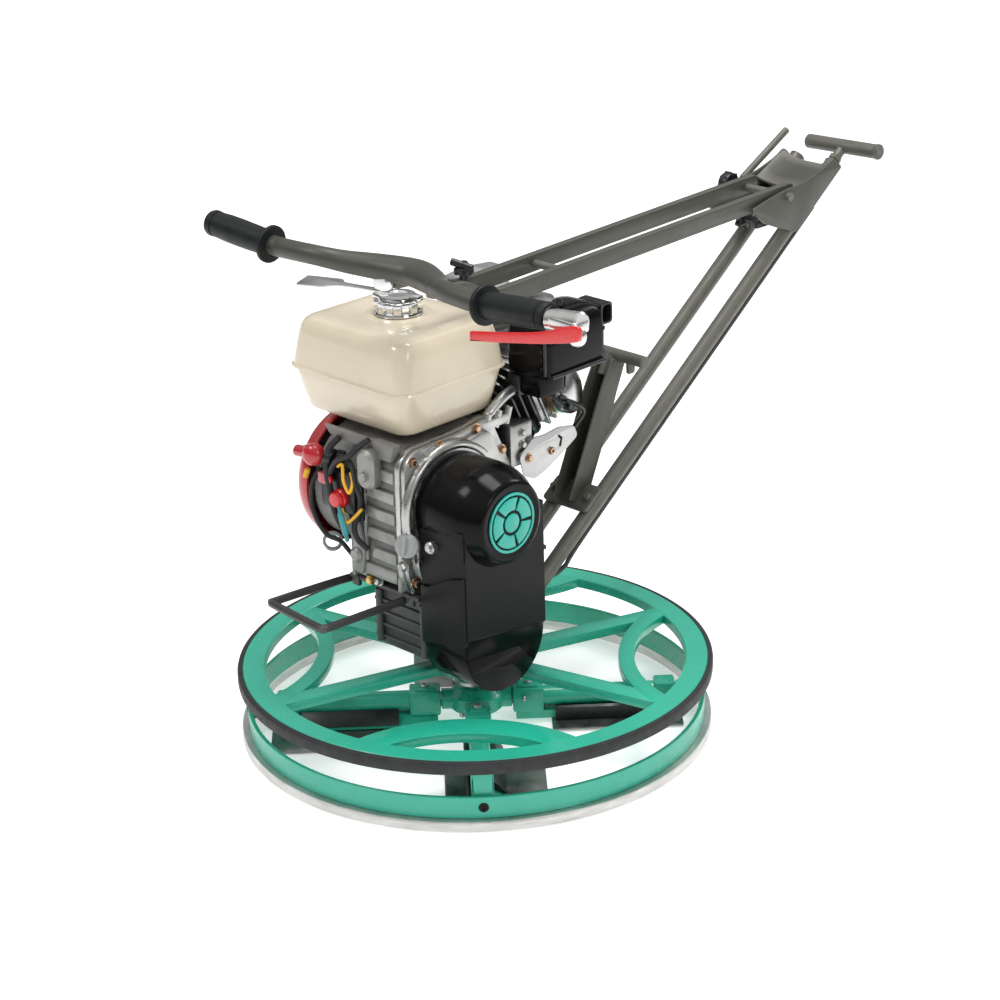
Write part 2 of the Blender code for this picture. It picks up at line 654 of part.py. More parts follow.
def make_tank(cap_body):
    """Pressed tank, widest at its seam, with a filler hole under the cap."""
    x, y = TANK_MIDDLE

    def tapered(name, shrink, bottom, top):
        sections = ((bottom, 0.084, 0.070), (TANK_SEAM_Z, 0.105, 0.091), (top, 0.084, 0.070))
        return loft(name, [(z, rounded_rectangle(half_x - shrink, half_y - shrink, 0.026, TANK_MIDDLE, 2))
                           for z, half_x, half_y in sections])

    low, high = TANK_Z
    tank = tapered("fuel_tank", 0, low, high)
    finish(tank, "cream_tank")
    cut(tank, tapered("tank_room", TANK_WALL, low + TANK_WALL, high - TANK_WALL))
    cut(tank, rod("tank_filler", "Z", 0.510, 0.540, 0.021, (x - 0.002, y + 0.006), sides=8))
    skirt = turned("fuel_cap", [(0.030, 0.5520), (0.030, 0.5310), (0.0225, 0.5310), (0.0225, 0.5355),
                                (0.0, 0.5355), (0.0, 0.5550), (0.022, 0.5550)], 24, (x - 0.002, y + 0.006, 0))
    finish(skirt, "chrome", cap_body)


RECOIL_X = (-0.180, -0.1505)
FAN_R = 0.090
ROPE_X = -0.157
ROPE_Z = 0.372
GRIP_Y = -0.141


def make_recoil(reel_body, grip_body):
    """Red fan housing, open towards the flywheel, with the starter's reel and pull grip."""
    low, high = RECOIL_X
    wall = 0.003
    shell = rod("recoil_housing", "X", low, high, FAN_R, (CRANK_Y, CRANK_Z), sides=40)
    finish(shell, "red_paint")
    cut(shell, rod("recoil_room", "X", low + wall, high + 0.01, FAN_R - wall, (CRANK_Y, CRANK_Z), sides=40))
    cut(shell, rod("recoil_slot", "Y", -0.20, -0.10, 0.0055, (ROPE_X, ROPE_Z), sides=16))
    reel = turned("starter_reel", [(0.036, -0.1695), (0.036, -0.1755), (0.0, -0.1755), (0.0, -0.1695)],
                  24, (0, CRANK_Y, CRANK_Z), "X")
    finish(reel, "black_plastic", reel_body)
    grip = rod("starter_grip", "X", ROPE_X - 0.005, -0.112, 0.0135, (GRIP_Y, ROPE_Z), sides=20)
    finish(grip, "red_paint", grip_body)
    join(grip, rod("starter_rope", "Y", GRIP_Y, -0.112, 0.0030, (ROPE_X, ROPE_Z), sides=10))


SWITCH_AT = (-0.092, 0.322)     # X and Z of the switch and of the fuel lever's pivot
FUEL_LEVER_AT = (-0.118, 0.3445)


def make_engine_trim(switch_body, lever_body):
    filter_box = box("air_cleaner", (-0.012, 0.080, 0.452), (0.062, 0.187, 0.530), 0.006)
    finish(filter_box, "black_plastic")
    muffler = box("muffler", (-0.160, 0.100, 0.466), (-0.060, 0.186, 0.546), 0.012)
    finish(muffler, "bright_sheet")
    cut(muffler, box("muffler_room", (-0.158, 0.102, 0.468), (-0.062, 0.184, 0.544), 0.010))
    cut(muffler, rod("muffler_outlet", "X", -0.170, -0.150, 0.011, (0.143, 0.490), sides=16))
    front = CONTROL_Y - GAP
    x, z = SWITCH_AT
    switch = rod("engine_switch", "Y", front - 0.014, front, 0.012, (x, z), sides=16)
    finish(switch, "red_paint", switch_body)
    x, z = FUEL_LEVER_AT
    lever = box("fuel_lever", (x - 0.006, front - 0.010, z - 0.008), (x + 0.018, front, z + 0.008), 0.002)
    finish(lever, "red_paint", lever_body)


# ---------------------------------------------------------------- handle
def make_lower_handle():
    """Two straight tubes from the bed plate up to the fold bracket, and the lifting post."""
    for side, name in ((-1, "lower_tube_left"), (1, "lower_tube_right")):
        x = side * TUBE_X
        low = Vector((x, TUBE_LOW.y, TUBE_LOW.z))
        top = Vector((x, TUBE_TOP.y, TUBE_TOP.z))
        pipe = finish(tube(name, [low, top], TUBE_R, 2), "grey_paint")
        beyond = tube_direction() * 0.01
        cut(pipe, tube(name + "_bore", [low - beyond, top + beyond], TUBE_R - TUBE_WALL, 2))

    post = bar_between("lifting_post", (0, 0.178, 0.250), (0, 0.258, 0.424), 0.030, 0.034)
    finish(post, "grey_paint", smooth=False)
    room = bar_between("post_room", (0, 0.190, 0.240), (0, 0.262, 0.412), 0.025, 0.034)
    room.location.y += 0.006
    cut(post, room)
    join(post, rod("post_bar", "X", -0.036, 0.058, 0.008, (0.262, 0.428), sides=12))
    along = tube_direction()
    lift = Vector((0, -along.z, along.y)) * (TUBE_R + GAP + 0.003)
    foot = TUBE_LOW + along * 0.128 + lift
    join(post, bar_between("post_foot", foot, foot + along * 0.040, 2 * TUBE_X + 0.024, 0.006))
    drop = Vector((TUBE_X, 0.008, -0.0165))
    cable = [TUBE_TOP + drop - tube_direction() * 0.060, TUBE_TOP + drop - tube_direction() * 0.300,
             TUBE_LOW + drop + tube_direction() * 0.120, (0.022, 0.140, 0.172), (0.006, 0.108, 0.158),
             (0.0, 0.088, 0.156)]
    finish(tube("pitch_cable", smooth_route(cable, 5), 0.0030, 2), "black_rubber")

    loop = [(-0.008, -0.093, 0.2003), (-0.012, -0.130, 0.2003), (-0.019, -0.226, 0.2003),
            (-0.027, -0.2335, 0.2003), (-0.121, -0.2245, 0.2003), (-0.1285, -0.216, 0.2003),
            (-0.114, -0.110, 0.2003), (-0.098, -0.075, 0.2003), (-0.096, -0.045, 0.2003)]
    finish(tube("carry_loop", loop, 0.0052, 2), "grey_paint")


def make_fold_bracket(knob_body, lock_body):
    """Two cheek plates and the cradle between them hold the fold hinge."""
    cheeks = []
    outline = [(0.676, 0.5965), (0.6577, 0.6122), (0.6395, 0.6030), (0.594, 0.5905), (0.560, 0.5895),
               (0.530, 0.5850), (0.490, 0.5770), (0.509, 0.5544), (0.541, 0.5407), (0.580, 0.5258)]
    for side in (-1, 1):
        x = side * 0.0425
        cheeks.append(plate(f"cheek_{side}", outline, "X", x - 0.002, x + 0.002))
    bracket = cheeks[0]
    bracket.name = "fold_bracket"
    finish(bracket, "grey_paint", smooth=False)
    cradle = bar_between("cradle", (0, 0.600, 0.5800), (0, 0.644, 0.5970), 0.085, 0.003)
    join(bracket, cheeks[1], cradle)
    pin = rod("fold_pin", "X", -0.0510, 0.0510, 0.0055, (FOLD_Y, FOLD_Z), sides=16)
    finish(pin, "chrome")
    pin_hole = rod("pin_hole", "X", -0.06, 0.06, 0.0058, (FOLD_Y, FOLD_Z), sides=16)
    cut(bracket, pin_hole)
    knob = turned("fold_knob", [(0.017, -0.0515), (0.019, -0.056), (0.017, -0.066), (0.0, -0.066),
                                (0.0, -0.0515)], 16, (0, FOLD_Y, FOLD_Z), "X")
    finish(knob, "black_plastic", knob_body)
    lock = tube("fold_lock_lever", [(-0.0560, 0.588, 0.5830), (-0.0560, 0.680, 0.6310)], 0.0048, 2)
    finish(lock, "grey_paint", lock_body)
    join(lock, rod("lock_pivot", "X", -0.0570, -0.0448, 0.0040, (0.588, 0.5830), sides=12))


def tube_direction():
    return (TUBE_TOP - TUBE_LOW).normalized()


def make_pitch_handle(body):
    """T-handle on a screw rod in the end of the right-hand tube; it pulls the pitch cable."""
    along = tube_direction()
    start = Vector((TUBE_X, TUBE_TOP.y, TUBE_TOP.z)) + along * 0.0008
    middle = start + along * 0.030
    stem = tube("pitch_handle", [start, middle], 0.0070, 2)
    finish(stem, "grey_paint", body)
    across = Vector((1, 0, 0))
    up = along.cross(across)
    roll = math.radians(-3)
    bar_way = (across * math.cos(roll) + up * math.sin(roll)).normalized()
    half = 0.063
    join(stem, tube("pitch_bar", [middle - bar_way * half, middle + bar_way * half], 0.0098, 2))


def make_upper_handle(body, dead_man_body, throttle_body):
    """Two flat bars from the fold hinge and the bent handlebar across their ends."""
    for side, name in ((-1, "upper_bar_left"), (1, "upper_bar_right")):
        x = side * BAR_X
        bar = plate(name, BAR_OUTLINE, "X", x - BAR_W / 2, x + BAR_W / 2)
        finish(bar, "grey_paint", body, smooth=False)
        cut(bar, rod(name + "_hole", "X", x - 0.02, x + 0.02, 0.0059, (FOLD_Y, FOLD_Z), sides=16))

    half = [(0.0, -0.078, 0.6165), (0.040, -0.092, 0.6190), (0.080, -0.116, 0.624), (0.110, -0.134, 0.630),
            (0.145, -0.1395, 0.6305), grip_point(0.176)]
    left = [(-x, y, z) for x, y, z in half[:0:-1]]
    middle = smooth_route([*left, *half], 3)
    route = [Vector(grip_point(-0.287)), *middle, Vector(grip_point(0.2915))]
    swell = [1.0 + 0.30 * max(0.0, 1 - abs(p.x) / 0.11) for p in route]
    bar = tube("handlebar", route, BAR_R, 2, swell)
    finish(bar, "grey_paint", body)
    join(bar, box("throttle_bracket", (-0.046, -0.104, 0.5938), (-0.026, -0.089, 0.6160)))
    beyond = 0.01
    room = [route[0] + (route[0] - route[1]).normalized() * beyond, *route,
            route[-1] + (route[-1] - route[-2]).normalized() * beyond]
    cut(bar, tube("handlebar_bore", room, BAR_R - TUBE_WALL, 2, [swell[0], *swell, swell[-1]]))
    for side, name, inner, outer in ((-1, "left_grip", 0.186, 0.2915), (1, "right_grip", 0.178, 0.2890)):
        grip = tube(name, [grip_point(side * inner), grip_point(side * outer)], GRIP_R, 3)
        finish(grip, "black_rubber", body)
        join(grip, tube(name + "_flange", [grip_point(side * inner), grip_point(side * (inner + 0.005))], 0.0235, 3))
        bore_end = 0.2875 if side < 0 else 0.330
        cut(grip, tube(name + "_bore", [grip_point(side * (inner - 0.01)), grip_point(side * bore_end)], 0.0125, 2))

    clamp = box("lever_clamp", (0.2925, -0.1640, 0.632), (0.3450, -0.134, 0.6575), 0.003)
    finish(clamp, "chrome", body)
    lever = plate("dead_man_lever", [(0.192, 0.5990), (0.236, 0.6065), (0.298, 0.6185), (0.343, 0.6290),
                                     (0.362, 0.6350), (0.362, 0.6520), (0.348, 0.6500), (0.2975, 0.6315),
                                     (0.236, 0.6185), (0.192, 0.6105)],
                  "Y", -0.1775, -0.1655)
    finish(lever, "red_paint", dead_man_body, smooth=False)
    throttle = plate("throttle_lever", [(-0.030, -0.0885), (-0.060, -0.092), (-0.125, -0.122), (-0.135, -0.146),
                                        (-0.118, -0.150), (-0.050, -0.112), (-0.026, -0.104)],
                     "Z", 0.5905, 0.5935)
    finish(throttle, "bright_casting", throttle_body, smooth=False)


def grip_point(x):
    """A point on the straight, slightly raised end of the handlebar at a given X."""
    share = (abs(x) - 0.187) / (0.300 - 0.187)
    return (x, -0.139 - 0.007 * share, 0.630 + 0.011 * share)


# ---------------------------------------------------------------- assembly
def build():
    rotor = empty("rotor_body", (0, 0, 0), MACHINE_EMPTY)
    collar = empty("pitch_collar_body", (0, 0, COLLAR_Z[0]), MACHINE_EMPTY)
    yoke = empty("pitch_yoke_body", YOKE_PIVOT, MACHINE_EMPTY)
    worm = empty("worm_body", (0, CRANK_Y, WORM_Z), MACHINE_EMPTY)
    crank = empty("crank_body", (0, CRANK_Y, CRANK_Z), MACHINE_EMPTY)
    x, y = TANK_MIDDLE
    cap = empty("fuel_cap_body", (x - 0.002, y + 0.006, 0.535), MACHINE_EMPTY)
    reel = empty("starter_reel_body", (-0.170, CRANK_Y, CRANK_Z), MACHINE_EMPTY)
    grip = empty("starter_grip_body", (ROPE_X, GRIP_Y, ROPE_Z), MACHINE_EMPTY)
    switch = empty("engine_switch_body", (SWITCH_AT[0], CONTROL_Y, SWITCH_AT[1]), MACHINE_EMPTY)
    fuel = empty("fuel_lever_body", (FUEL_LEVER_AT[0], CONTROL_Y, FUEL_LEVER_AT[1]), MACHINE_EMPTY)
    knob = empty("fold_knob_body", (-0.052, FOLD_Y, FOLD_Z), MACHINE_EMPTY)
    lock = empty("fold_lock_body", (-0.056, 0.588, 0.5830), MACHINE_EMPTY)
    pitch = empty("pitch_handle_body", (TUBE_X, TUBE_TOP.y, TUBE_TOP.z), MACHINE_EMPTY)
    upper = empty("upper_handle_body", (0, FOLD_Y, FOLD_Z), MACHINE_EMPTY)
    dead_man = empty("dead_man_body", (0.345, -0.1715, 0.640), MACHINE_EMPTY)
    throttle = empty("throttle_body", (-0.036, -0.096, 0.592), MACHINE_EMPTY)

    make_rings(rotor)
    make_spider(rotor)
    make_drive_shaft(rotor)
    make_blades(rotor)
    make_pitch_linkage(collar, yoke)
    make_guard()
    make_gearbox(worm)
    make_engine(crank)
    make_belt()
    make_belt_cover()
    make_tank(cap)
    make_recoil(reel, grip)
    make_engine_trim(switch, fuel)
    make_lower_handle()
    make_fold_bracket(knob, lock)
    make_pitch_handle(pitch)
    make_upper_handle(upper, dead_man, throttle)
    bpy.context.view_layer.update()


build()
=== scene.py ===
"""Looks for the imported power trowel: detailed pieces, procedural finishes, camera and light.

Lengths are metres.  Geometry is written in the machine's own frame: the rotor axis at X = Y = 0,
the floor at Z = 0, +X the belt-cover side and +Y the operator's side.  ORIGIN is where that
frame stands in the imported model.
"""

import json
import math

import bmesh
import bpy
from mathutils import Matrix, Vector


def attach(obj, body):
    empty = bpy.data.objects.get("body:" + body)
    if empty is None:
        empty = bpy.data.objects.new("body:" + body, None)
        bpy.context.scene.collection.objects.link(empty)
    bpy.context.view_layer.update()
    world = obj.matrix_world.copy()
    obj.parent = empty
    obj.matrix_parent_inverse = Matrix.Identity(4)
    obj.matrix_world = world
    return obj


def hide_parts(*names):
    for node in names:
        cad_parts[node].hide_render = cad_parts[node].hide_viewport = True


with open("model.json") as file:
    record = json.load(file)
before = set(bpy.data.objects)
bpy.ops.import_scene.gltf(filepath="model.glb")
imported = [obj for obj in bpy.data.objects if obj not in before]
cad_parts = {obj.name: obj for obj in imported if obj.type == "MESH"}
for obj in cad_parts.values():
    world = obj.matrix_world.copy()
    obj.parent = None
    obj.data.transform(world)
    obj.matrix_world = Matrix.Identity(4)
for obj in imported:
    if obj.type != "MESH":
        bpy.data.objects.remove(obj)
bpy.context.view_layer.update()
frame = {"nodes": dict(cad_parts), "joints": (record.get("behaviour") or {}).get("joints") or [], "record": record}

JOINTS = {joint["name"]: joint for joint in frame["joints"]}
SPIN_AT = JOINTS["rotor_spin"]["pos_m"]
ORIGIN = Vector((SPIN_AT[0], SPIN_AT[1], 0.0))


# ================================================================ materials
def node_material(name, base, roughness, metallic=0.0, coat=0.0, vary=0.1, grain=45.0,
                  rough_vary=0.08, bump=0.15, bump_grain=420.0, bump_depth=0.0002,
                  edge=None, edge_share=0.6, stretch=(1, 1, 1), dirt=0.0, specular=0.5):
    """A Principled finish whose colour, roughness and relief come from noise on the object."""
    made = bpy.data.materials.new(name)
    made.use_nodes = True
    tree = made.node_tree
    nodes, links = tree.nodes, tree.links
    shader = nodes["Principled BSDF"]
    shader.inputs["Metallic"].default_value = metallic
    shader.inputs["Coat Weight"].default_value = coat
    shader.inputs["Coat Roughness"].default_value = 0.08
    shader.inputs["Specular IOR Level"].default_value = specular

    place = nodes.new("ShaderNodeTexCoord")
    mapping = nodes.new("ShaderNodeMapping")
    mapping.inputs["Scale"].default_value = stretch
    links.new(place.outputs["Object"], mapping.inputs["Vector"])

    def noise(scale, detail):
        cloud = nodes.new("ShaderNodeTexNoise")
        cloud.inputs["Scale"].default_value = scale
        cloud.inputs["Detail"].default_value = detail
        links.new(mapping.outputs["Vector"], cloud.inputs["Vector"])
        return cloud.outputs["Fac"]

    def ramp(source, low, high, start=0.3, end=0.7):
        made_ramp = nodes.new("ShaderNodeValToRGB")
        made_ramp.color_ramp.elements[0].position = start
        made_ramp.color_ramp.elements[1].position = end
        made_ramp.color_ramp.elements[0].color = (*low, 1)
        made_ramp.color_ramp.elements[1].color = (*high, 1)
        links.new(source, made_ramp.inputs["Fac"])
        return made_ramp.outputs["Color"]

    def mix(share, first, second):
        made_mix = nodes.new("ShaderNodeMix")
        made_mix.data_type = "RGBA"
        links.new(share, made_mix.inputs["Factor"])
        links.new(first, made_mix.inputs["A"])
        links.new(second, made_mix.inputs["B"])
        return made_mix.outputs["Result"]

    def grey(value):
        return (value, value, value)

    base = Vector(base)
    coarse = noise(grain, 5.0)
    colour = ramp(coarse, base * (1 - vary), base * (1 + vary))
    if dirt:
        patches = ramp(noise(grain * 0.35, 8.0), grey(0), grey(dirt), 0.45, 0.75)
        soil = ramp(noise(grain * 3, 3.0), (0.1, 0.095, 0.085), (0.16, 0.15, 0.135))
        colour = mix(patches, colour, soil)
    # Sharp convex edges (Pointiness) turn towards the edge colour: edge wear, and on the grey casting (mid_cast) a
    # painted highlight along the edges.
    if edge:
        shape = nodes.new("ShaderNodeNewGeometry")
        edge_wear_and_highlight_mask = ramp(shape.outputs["Pointiness"], grey(0), grey(edge_share), 0.52, 0.58)
        edge_wear_and_highlight_colour = ramp(noise(grain * 4, 4.0), Vector(edge) * 0.85, Vector(edge))
        colour = mix(edge_wear_and_highlight_mask, colour, edge_wear_and_highlight_colour)
    links.new(colour, shader.inputs["Base Color"])

    low = max(0.02, roughness - rough_vary)
    links.new(ramp(noise(grain * 1.7, 4.0), grey(low), grey(roughness + rough_vary)),
            shader.inputs["Roughness"])
    if bump:
        relief = nodes.new("ShaderNodeBump")
        relief.inputs["Strength"].default_value = bump
        relief.inputs["Distance"].default_value = bump_depth
        links.new(noise(bump_grain, 3.0), relief.inputs["Height"])
        links.new(relief.outputs["Normal"], shader.inputs["Normal"])
    return made


FINISH = {
    "teal": node_material("teal_enamel", (0.008, 0.4, 0.262), 0.28, coat=0.15, vary=0.05, grain=14,
        bump=0.1, bump_grain=260, edge=(0.12, 0.56, 0.43), edge_share=0.25),
    "steel": node_material("turned_steel", (0.6, 0.585, 0.57), 0.34, 1.0, vary=0.1, grain=30,
        rough_vary=0.12, bump=0.2, bump_grain=300, stretch=(1, 1, 6)),
    "grey_sheath": node_material("cable_sheath", (0.06, 0.058, 0.05), 0.5, vary=0.1, grain=30, bump=0.1,
        bump_grain=500),
    "band": node_material("worn_band_steel", (0.66, 0.645, 0.63), 0.38, 0.85, vary=0.14, grain=22,
        rough_vary=0.14, bump=0.3, bump_grain=240, stretch=(1, 1, 5), dirt=0.25),
    "blade": node_material("blade_steel", (0.3, 0.292, 0.285), 0.36, 0.9, vary=0.22, grain=26,
        rough_vary=0.12, bump=0.3, bump_grain=240, dirt=0.2),
    "rubber": node_material("black_rubber", (0.016, 0.017, 0.018), 0.62, vary=0.25, grain=60, bump=0.35,
        bump_grain=900, bump_depth=0.00015),
    "grip": node_material("grip_rubber", (0.005, 0.0075, 0.0075), 0.5, specular=0.3, vary=0.22, grain=50,
        bump=0.45, bump_grain=700, bump_depth=0.0002),
    "gloss_black": node_material("gloss_black_cover", (0.004, 0.0036, 0.0038), 0.17, coat=0.0, vary=0.15,
        grain=9, rough_vary=0.05, bump=0.05, bump_grain=120, specular=0.13),
    "black": node_material("black_plastic", (0.009, 0.011, 0.012), 0.34, vary=0.2, grain=40, bump=0.3,
        bump_grain=800, bump_depth=0.00012),
    # dark_cast is the darker copy of the crankcase casting: its tone is painted shade in the gaps behind the front
    # ribs.
    "dark_cast": node_material("dark_casting", (0.145, 0.145, 0.138), 0.5, 0.35, vary=0.22, grain=36,
        rough_vary=0.12, bump=0.55, bump_grain=560, bump_depth=0.0003, edge=(0.3, 0.3, 0.29),
        edge_share=0.5, dirt=0.15),
    # mid_cast is the lighter copy of the same casting: on the crankcase ribs its tone and bright edges are painted
    # highlight.
    "mid_cast": node_material("grey_casting", (0.225, 0.225, 0.215), 0.46, 0.6, vary=0.18, grain=36,
        rough_vary=0.12, bump=0.5, bump_grain=520, bump_depth=0.0003, edge=(0.48, 0.48, 0.46),
        edge_share=0.5, dirt=0.12),
    "bright_cast": node_material("bright_casting", (0.44, 0.44, 0.43), 0.31, 0.95, vary=0.14, grain=30,
        rough_vary=0.12, bump=0.35, bump_grain=420, bump_depth=0.0003, dirt=0.06),
    "sheet": node_material("bright_sheet", (0.52, 0.52, 0.515), 0.34, 0.85, vary=0.08, grain=18, bump=0.15,
        bump_grain=260),
    "chrome": node_material("chrome", (0.8, 0.8, 0.8), 0.12, 1.0, vary=0.05, grain=24, rough_vary=0.05,
        bump=0.05, bump_grain=200),
    "olive": node_material("olive_grey_paint", (0.058, 0.057, 0.047), 0.44, 0.15, vary=0.1, grain=20,
        bump=0.25, bump_grain=620, bump_depth=0.00015, edge=(0.24, 0.235, 0.2), edge_share=0.45),
    "black_paint": node_material("black_chassis_paint", (0.034, 0.033, 0.033), 0.4, 0.1, vary=0.18,
        grain=30, bump=0.3, bump_grain=620, bump_depth=0.00015, edge=(0.15, 0.145, 0.14), edge_share=0.4),
    "cream": node_material("cream_enamel", (0.7, 0.615, 0.465), 0.24, coat=0.55, vary=0.04, grain=9,
        rough_vary=0.05, bump=0.05, bump_grain=160),
    "red": node_material("red_enamel", (0.46, 0.012, 0.017), 0.26, coat=0.6, vary=0.1, grain=16, bump=0.06,
        bump_grain=220),
    "red_lever": node_material("red_plastic", (0.66, 0.016, 0.02), 0.3, coat=0.3, vary=0.06, grain=20,
        bump=0.08, bump_grain=400),
    "brass": node_material("brass", (0.55, 0.37, 0.13), 0.3, 1.0, vary=0.12, grain=30, bump=0.1,
        bump_grain=300),
    "badge": node_material("teal_disc", (0.006, 0.42, 0.33), 0.3, coat=0.3, vary=0.06, grain=30, bump=0.08,
        bump_grain=400),
    "yellow": node_material("yellow_sleeve", (0.8, 0.42, 0.012), 0.42, vary=0.1, grain=60, bump=0.1),
    "blue": node_material("turquoise_sleeve", (0.05, 0.3, 0.32), 0.42, vary=0.1, grain=60, bump=0.1),
    "copper": node_material("tinted_steel", (0.52, 0.34, 0.22), 0.3, 0.95, vary=0.18, grain=24, bump=0.15),
    "satin_black": node_material("satin_black_cover", (0.0095, 0.0082, 0.009), 0.36, vary=0.12, grain=12,
        rough_vary=0.05, bump=0.08, bump_grain=320, specular=0.16),
    "black_cast": node_material("black_casting", (0.03, 0.03, 0.03), 0.46, 0.25, vary=0.22, grain=36,
        rough_vary=0.12, bump=0.55, bump_grain=560, bump_depth=0.0003, edge=(0.16, 0.16, 0.155),
        edge_share=0.5, dirt=0.1),
    "gloss_fins": node_material("glossy_fins", (0.022, 0.021, 0.021), 0.24, coat=0.4, vary=0.2, grain=20,
        rough_vary=0.06, bump=0.12, bump_grain=300),
    "grey_plastic": node_material("light_grey_plastic", (0.36, 0.37, 0.37), 0.42, vary=0.08, grain=40,
        bump=0.2, bump_grain=700, bump_depth=0.0001),
    "chrome_dull": node_material("satin_chrome", (0.66, 0.66, 0.65), 0.24, 1.0, vary=0.08, grain=24,
        rough_vary=0.08, bump=0.1, bump_grain=260),
    "grey_paint": node_material("warm_grey_paint", (0.2, 0.195, 0.18), 0.44, 0.1, vary=0.1, grain=24,
        bump=0.2, bump_grain=620, bump_depth=0.00015),
    # Near-black painted shade standing in for the dark inside of holes, slots and recesses.
    "hole": node_material("painted_hole_shade", (0.004, 0.004, 0.004), 0.8, vary=0.2, grain=50, bump=0.1),
}
SLOT = {"teal": "teal_paint", "steel": "bare_steel", "band": "bare_steel", "blade": "blade_steel",
        "rubber": "black_rubber", "grey_sheath": "black_rubber", "grip": "black_rubber",
        "gloss_black": "black_cover", "black": "black_plastic", "dark_cast": "dark_casting",
        "mid_cast": "dark_casting", "bright_cast": "bright_casting", "sheet": "bright_sheet",
        "chrome": "chrome", "olive": "grey_paint", "black_paint": "grey_paint", "cream": "cream_tank",
        "red": "red_paint", "red_lever": "red_paint", "brass": "brass", "badge": "teal_paint",
        "yellow": "black_plastic", "blue": "black_plastic", "copper": "bare_steel", "hole": "black_plastic",
        "satin_black": "black_cover", "black_cast": "dark_casting", "gloss_fins": "dark_casting",
        "grey_plastic": "black_plastic", "chrome_dull": "chrome", "grey_paint": "grey_paint", }


# ================================================================ shape tools
SHARP_ANGLE, BEVEL_ANGLE = math.radians(38), math.radians(40)


class Shape:
    """Collects closed shells in one bmesh, which becomes one piece."""

    def __init__(self):
        self.mesh = bmesh.new()

    def take(self, part, matrix=None):
        if matrix is not None:
            bmesh.ops.transform(part, matrix=matrix, verts=part.verts)
        data = bpy.data.meshes.new("part")
        part.to_mesh(data)
        part.free()
        self.mesh.from_mesh(data)
        bpy.data.meshes.remove(data)
        return self

    def box(self, low, high, bevel=0.0, matrix=None):
        low, high = Vector(low), Vector(high)
        part = bmesh.new()
        bmesh.ops.create_cube(part, size=1.0)
        bmesh.ops.scale(part, vec=high - low, verts=part.verts)
        bmesh.ops.translate(part, vec=(low + high) / 2, verts=part.verts)
        if bevel:
            bmesh.ops.bevel(part, geom=part.edges[:] + part.verts[:], offset=bevel, segments=2,
                            profile=0.5, affect="EDGES")
        return self.take(part, matrix)

    def rod(self, start, end, radius, end_radius=None, sides=32, matrix=None, chamfer=0.0):
        start, end = Vector(start), Vector(end)
        length = (end - start).length
        top = radius if end_radius is None else end_radius
        profile = [(0, 0), (radius - chamfer, 0)]
        if chamfer:
            profile += [(radius, chamfer), (top, length - chamfer)]
        profile += [(top - chamfer, length), (0, length)]
        return self.turned(profile, start, end - start, sides, matrix)

    def turned(self, profile, at=(0, 0, 0), axis=(0, 0, 1), sides=64, matrix=None):
        """A (radius, height) profile, closed on the axis or into a ring, turned about an axis."""
        part = bmesh.new()
        rings = []
        for radius, height in profile:
            if radius < 1e-7:
                rings.append([part.verts.new((0, 0, height))])
            else:
                rings.append([part.verts.new((radius * math.cos(k * math.tau / sides),
                                              radius * math.sin(k * math.tau / sides), height))
                              for k in range(sides)])
        closed = len(rings[0]) > 1
        pairs = list(zip(rings, rings[1:]))
        if closed:
            pairs.append((rings[-1], rings[0]))
        for low, high in pairs:
            for k in range(sides):
                j = (k + 1) % sides
                if len(low) == 1 and len(high) == 1:
                    continue
                if len(low) == 1:
                    part.faces.new((low[0], high[k], high[j]))
                elif len(high) == 1:
                    part.faces.new((low[k], high[0], low[j]))
                else:
                    part.faces.new((low[k], high[k], high[j], low[j]))
        bmesh.ops.recalc_face_normals(part, faces=part.faces)
        turn = Vector(axis).to_track_quat("Z", "Y").to_matrix().to_4x4()
        bmesh.ops.transform(part, matrix=Matrix.Translation(Vector(at)) @ turn, verts=part.verts)
        return self.take(part, matrix)

    def plate(self, outline, axis, low, high, holes=(), matrix=None, bevel=0.0):
        """A flat outline with holes, thick along a row axis: (Y, Z) for X, (X, Z) for Y, (X, Y) for Z."""
        curve = bpy.data.curves.new("outline", "CURVE")
        curve.dimensions = "2D"
        curve.fill_mode = "BOTH"
        curve.extrude = (high - low) / 2 - bevel
        curve.bevel_depth = bevel
        curve.bevel_resolution = 1
        curve.offset = -bevel
        for points in (outline, *holes):
            spline = curve.splines.new("POLY")
            spline.points.add(len(points) - 1)
            for point, (u, v) in zip(spline.points, points):
                point.co = (u, v, 0, 1)
            spline.use_cyclic_u = True
        source = bpy.data.objects.new("outline", curve)
        bpy.context.scene.collection.objects.link(source)
        bpy.context.view_layer.update()
        graph = bpy.context.evaluated_depsgraph_get()
        data = bpy.data.meshes.new_from_object(source.evaluated_get(graph))
        bpy.data.objects.remove(source)
        part = bmesh.new()
        part.from_mesh(data)
        bpy.data.meshes.remove(data)
        bmesh.ops.remove_doubles(part, verts=part.verts, dist=0.00001)
        middle = (low + high) / 2
        stand = {
            "X": Matrix(((0, 0, 1, middle), (1, 0, 0, 0), (0, 1, 0, 0), (0, 0, 0, 1))),
            "Y": Matrix(((1, 0, 0, 0), (0, 0, -1, middle), (0, 1, 0, 0), (0, 0, 0, 1))),
            "Z": Matrix.Translation((0, 0, middle)),
        }[axis]
        bmesh.ops.transform(part, matrix=stand, verts=part.verts)
        bmesh.ops.recalc_face_normals(part, faces=part.faces)
        return self.take(part, matrix)

    def loft(self, loops, matrix=None):
        """A closed skin over loops with the same number of points."""
        part = bmesh.new()
        rings = [[part.verts.new(p) for p in loop] for loop in loops]
        for low, high in zip(rings, rings[1:]):
            for k in range(len(low)):
                j = (k + 1) % len(low)
                part.faces.new((low[k], low[j], high[j], high[k]))
        part.faces.new(rings[0])
        part.faces.new(rings[-1])
        bmesh.ops.recalc_face_normals(part, faces=part.faces)
        return self.take(part, matrix)

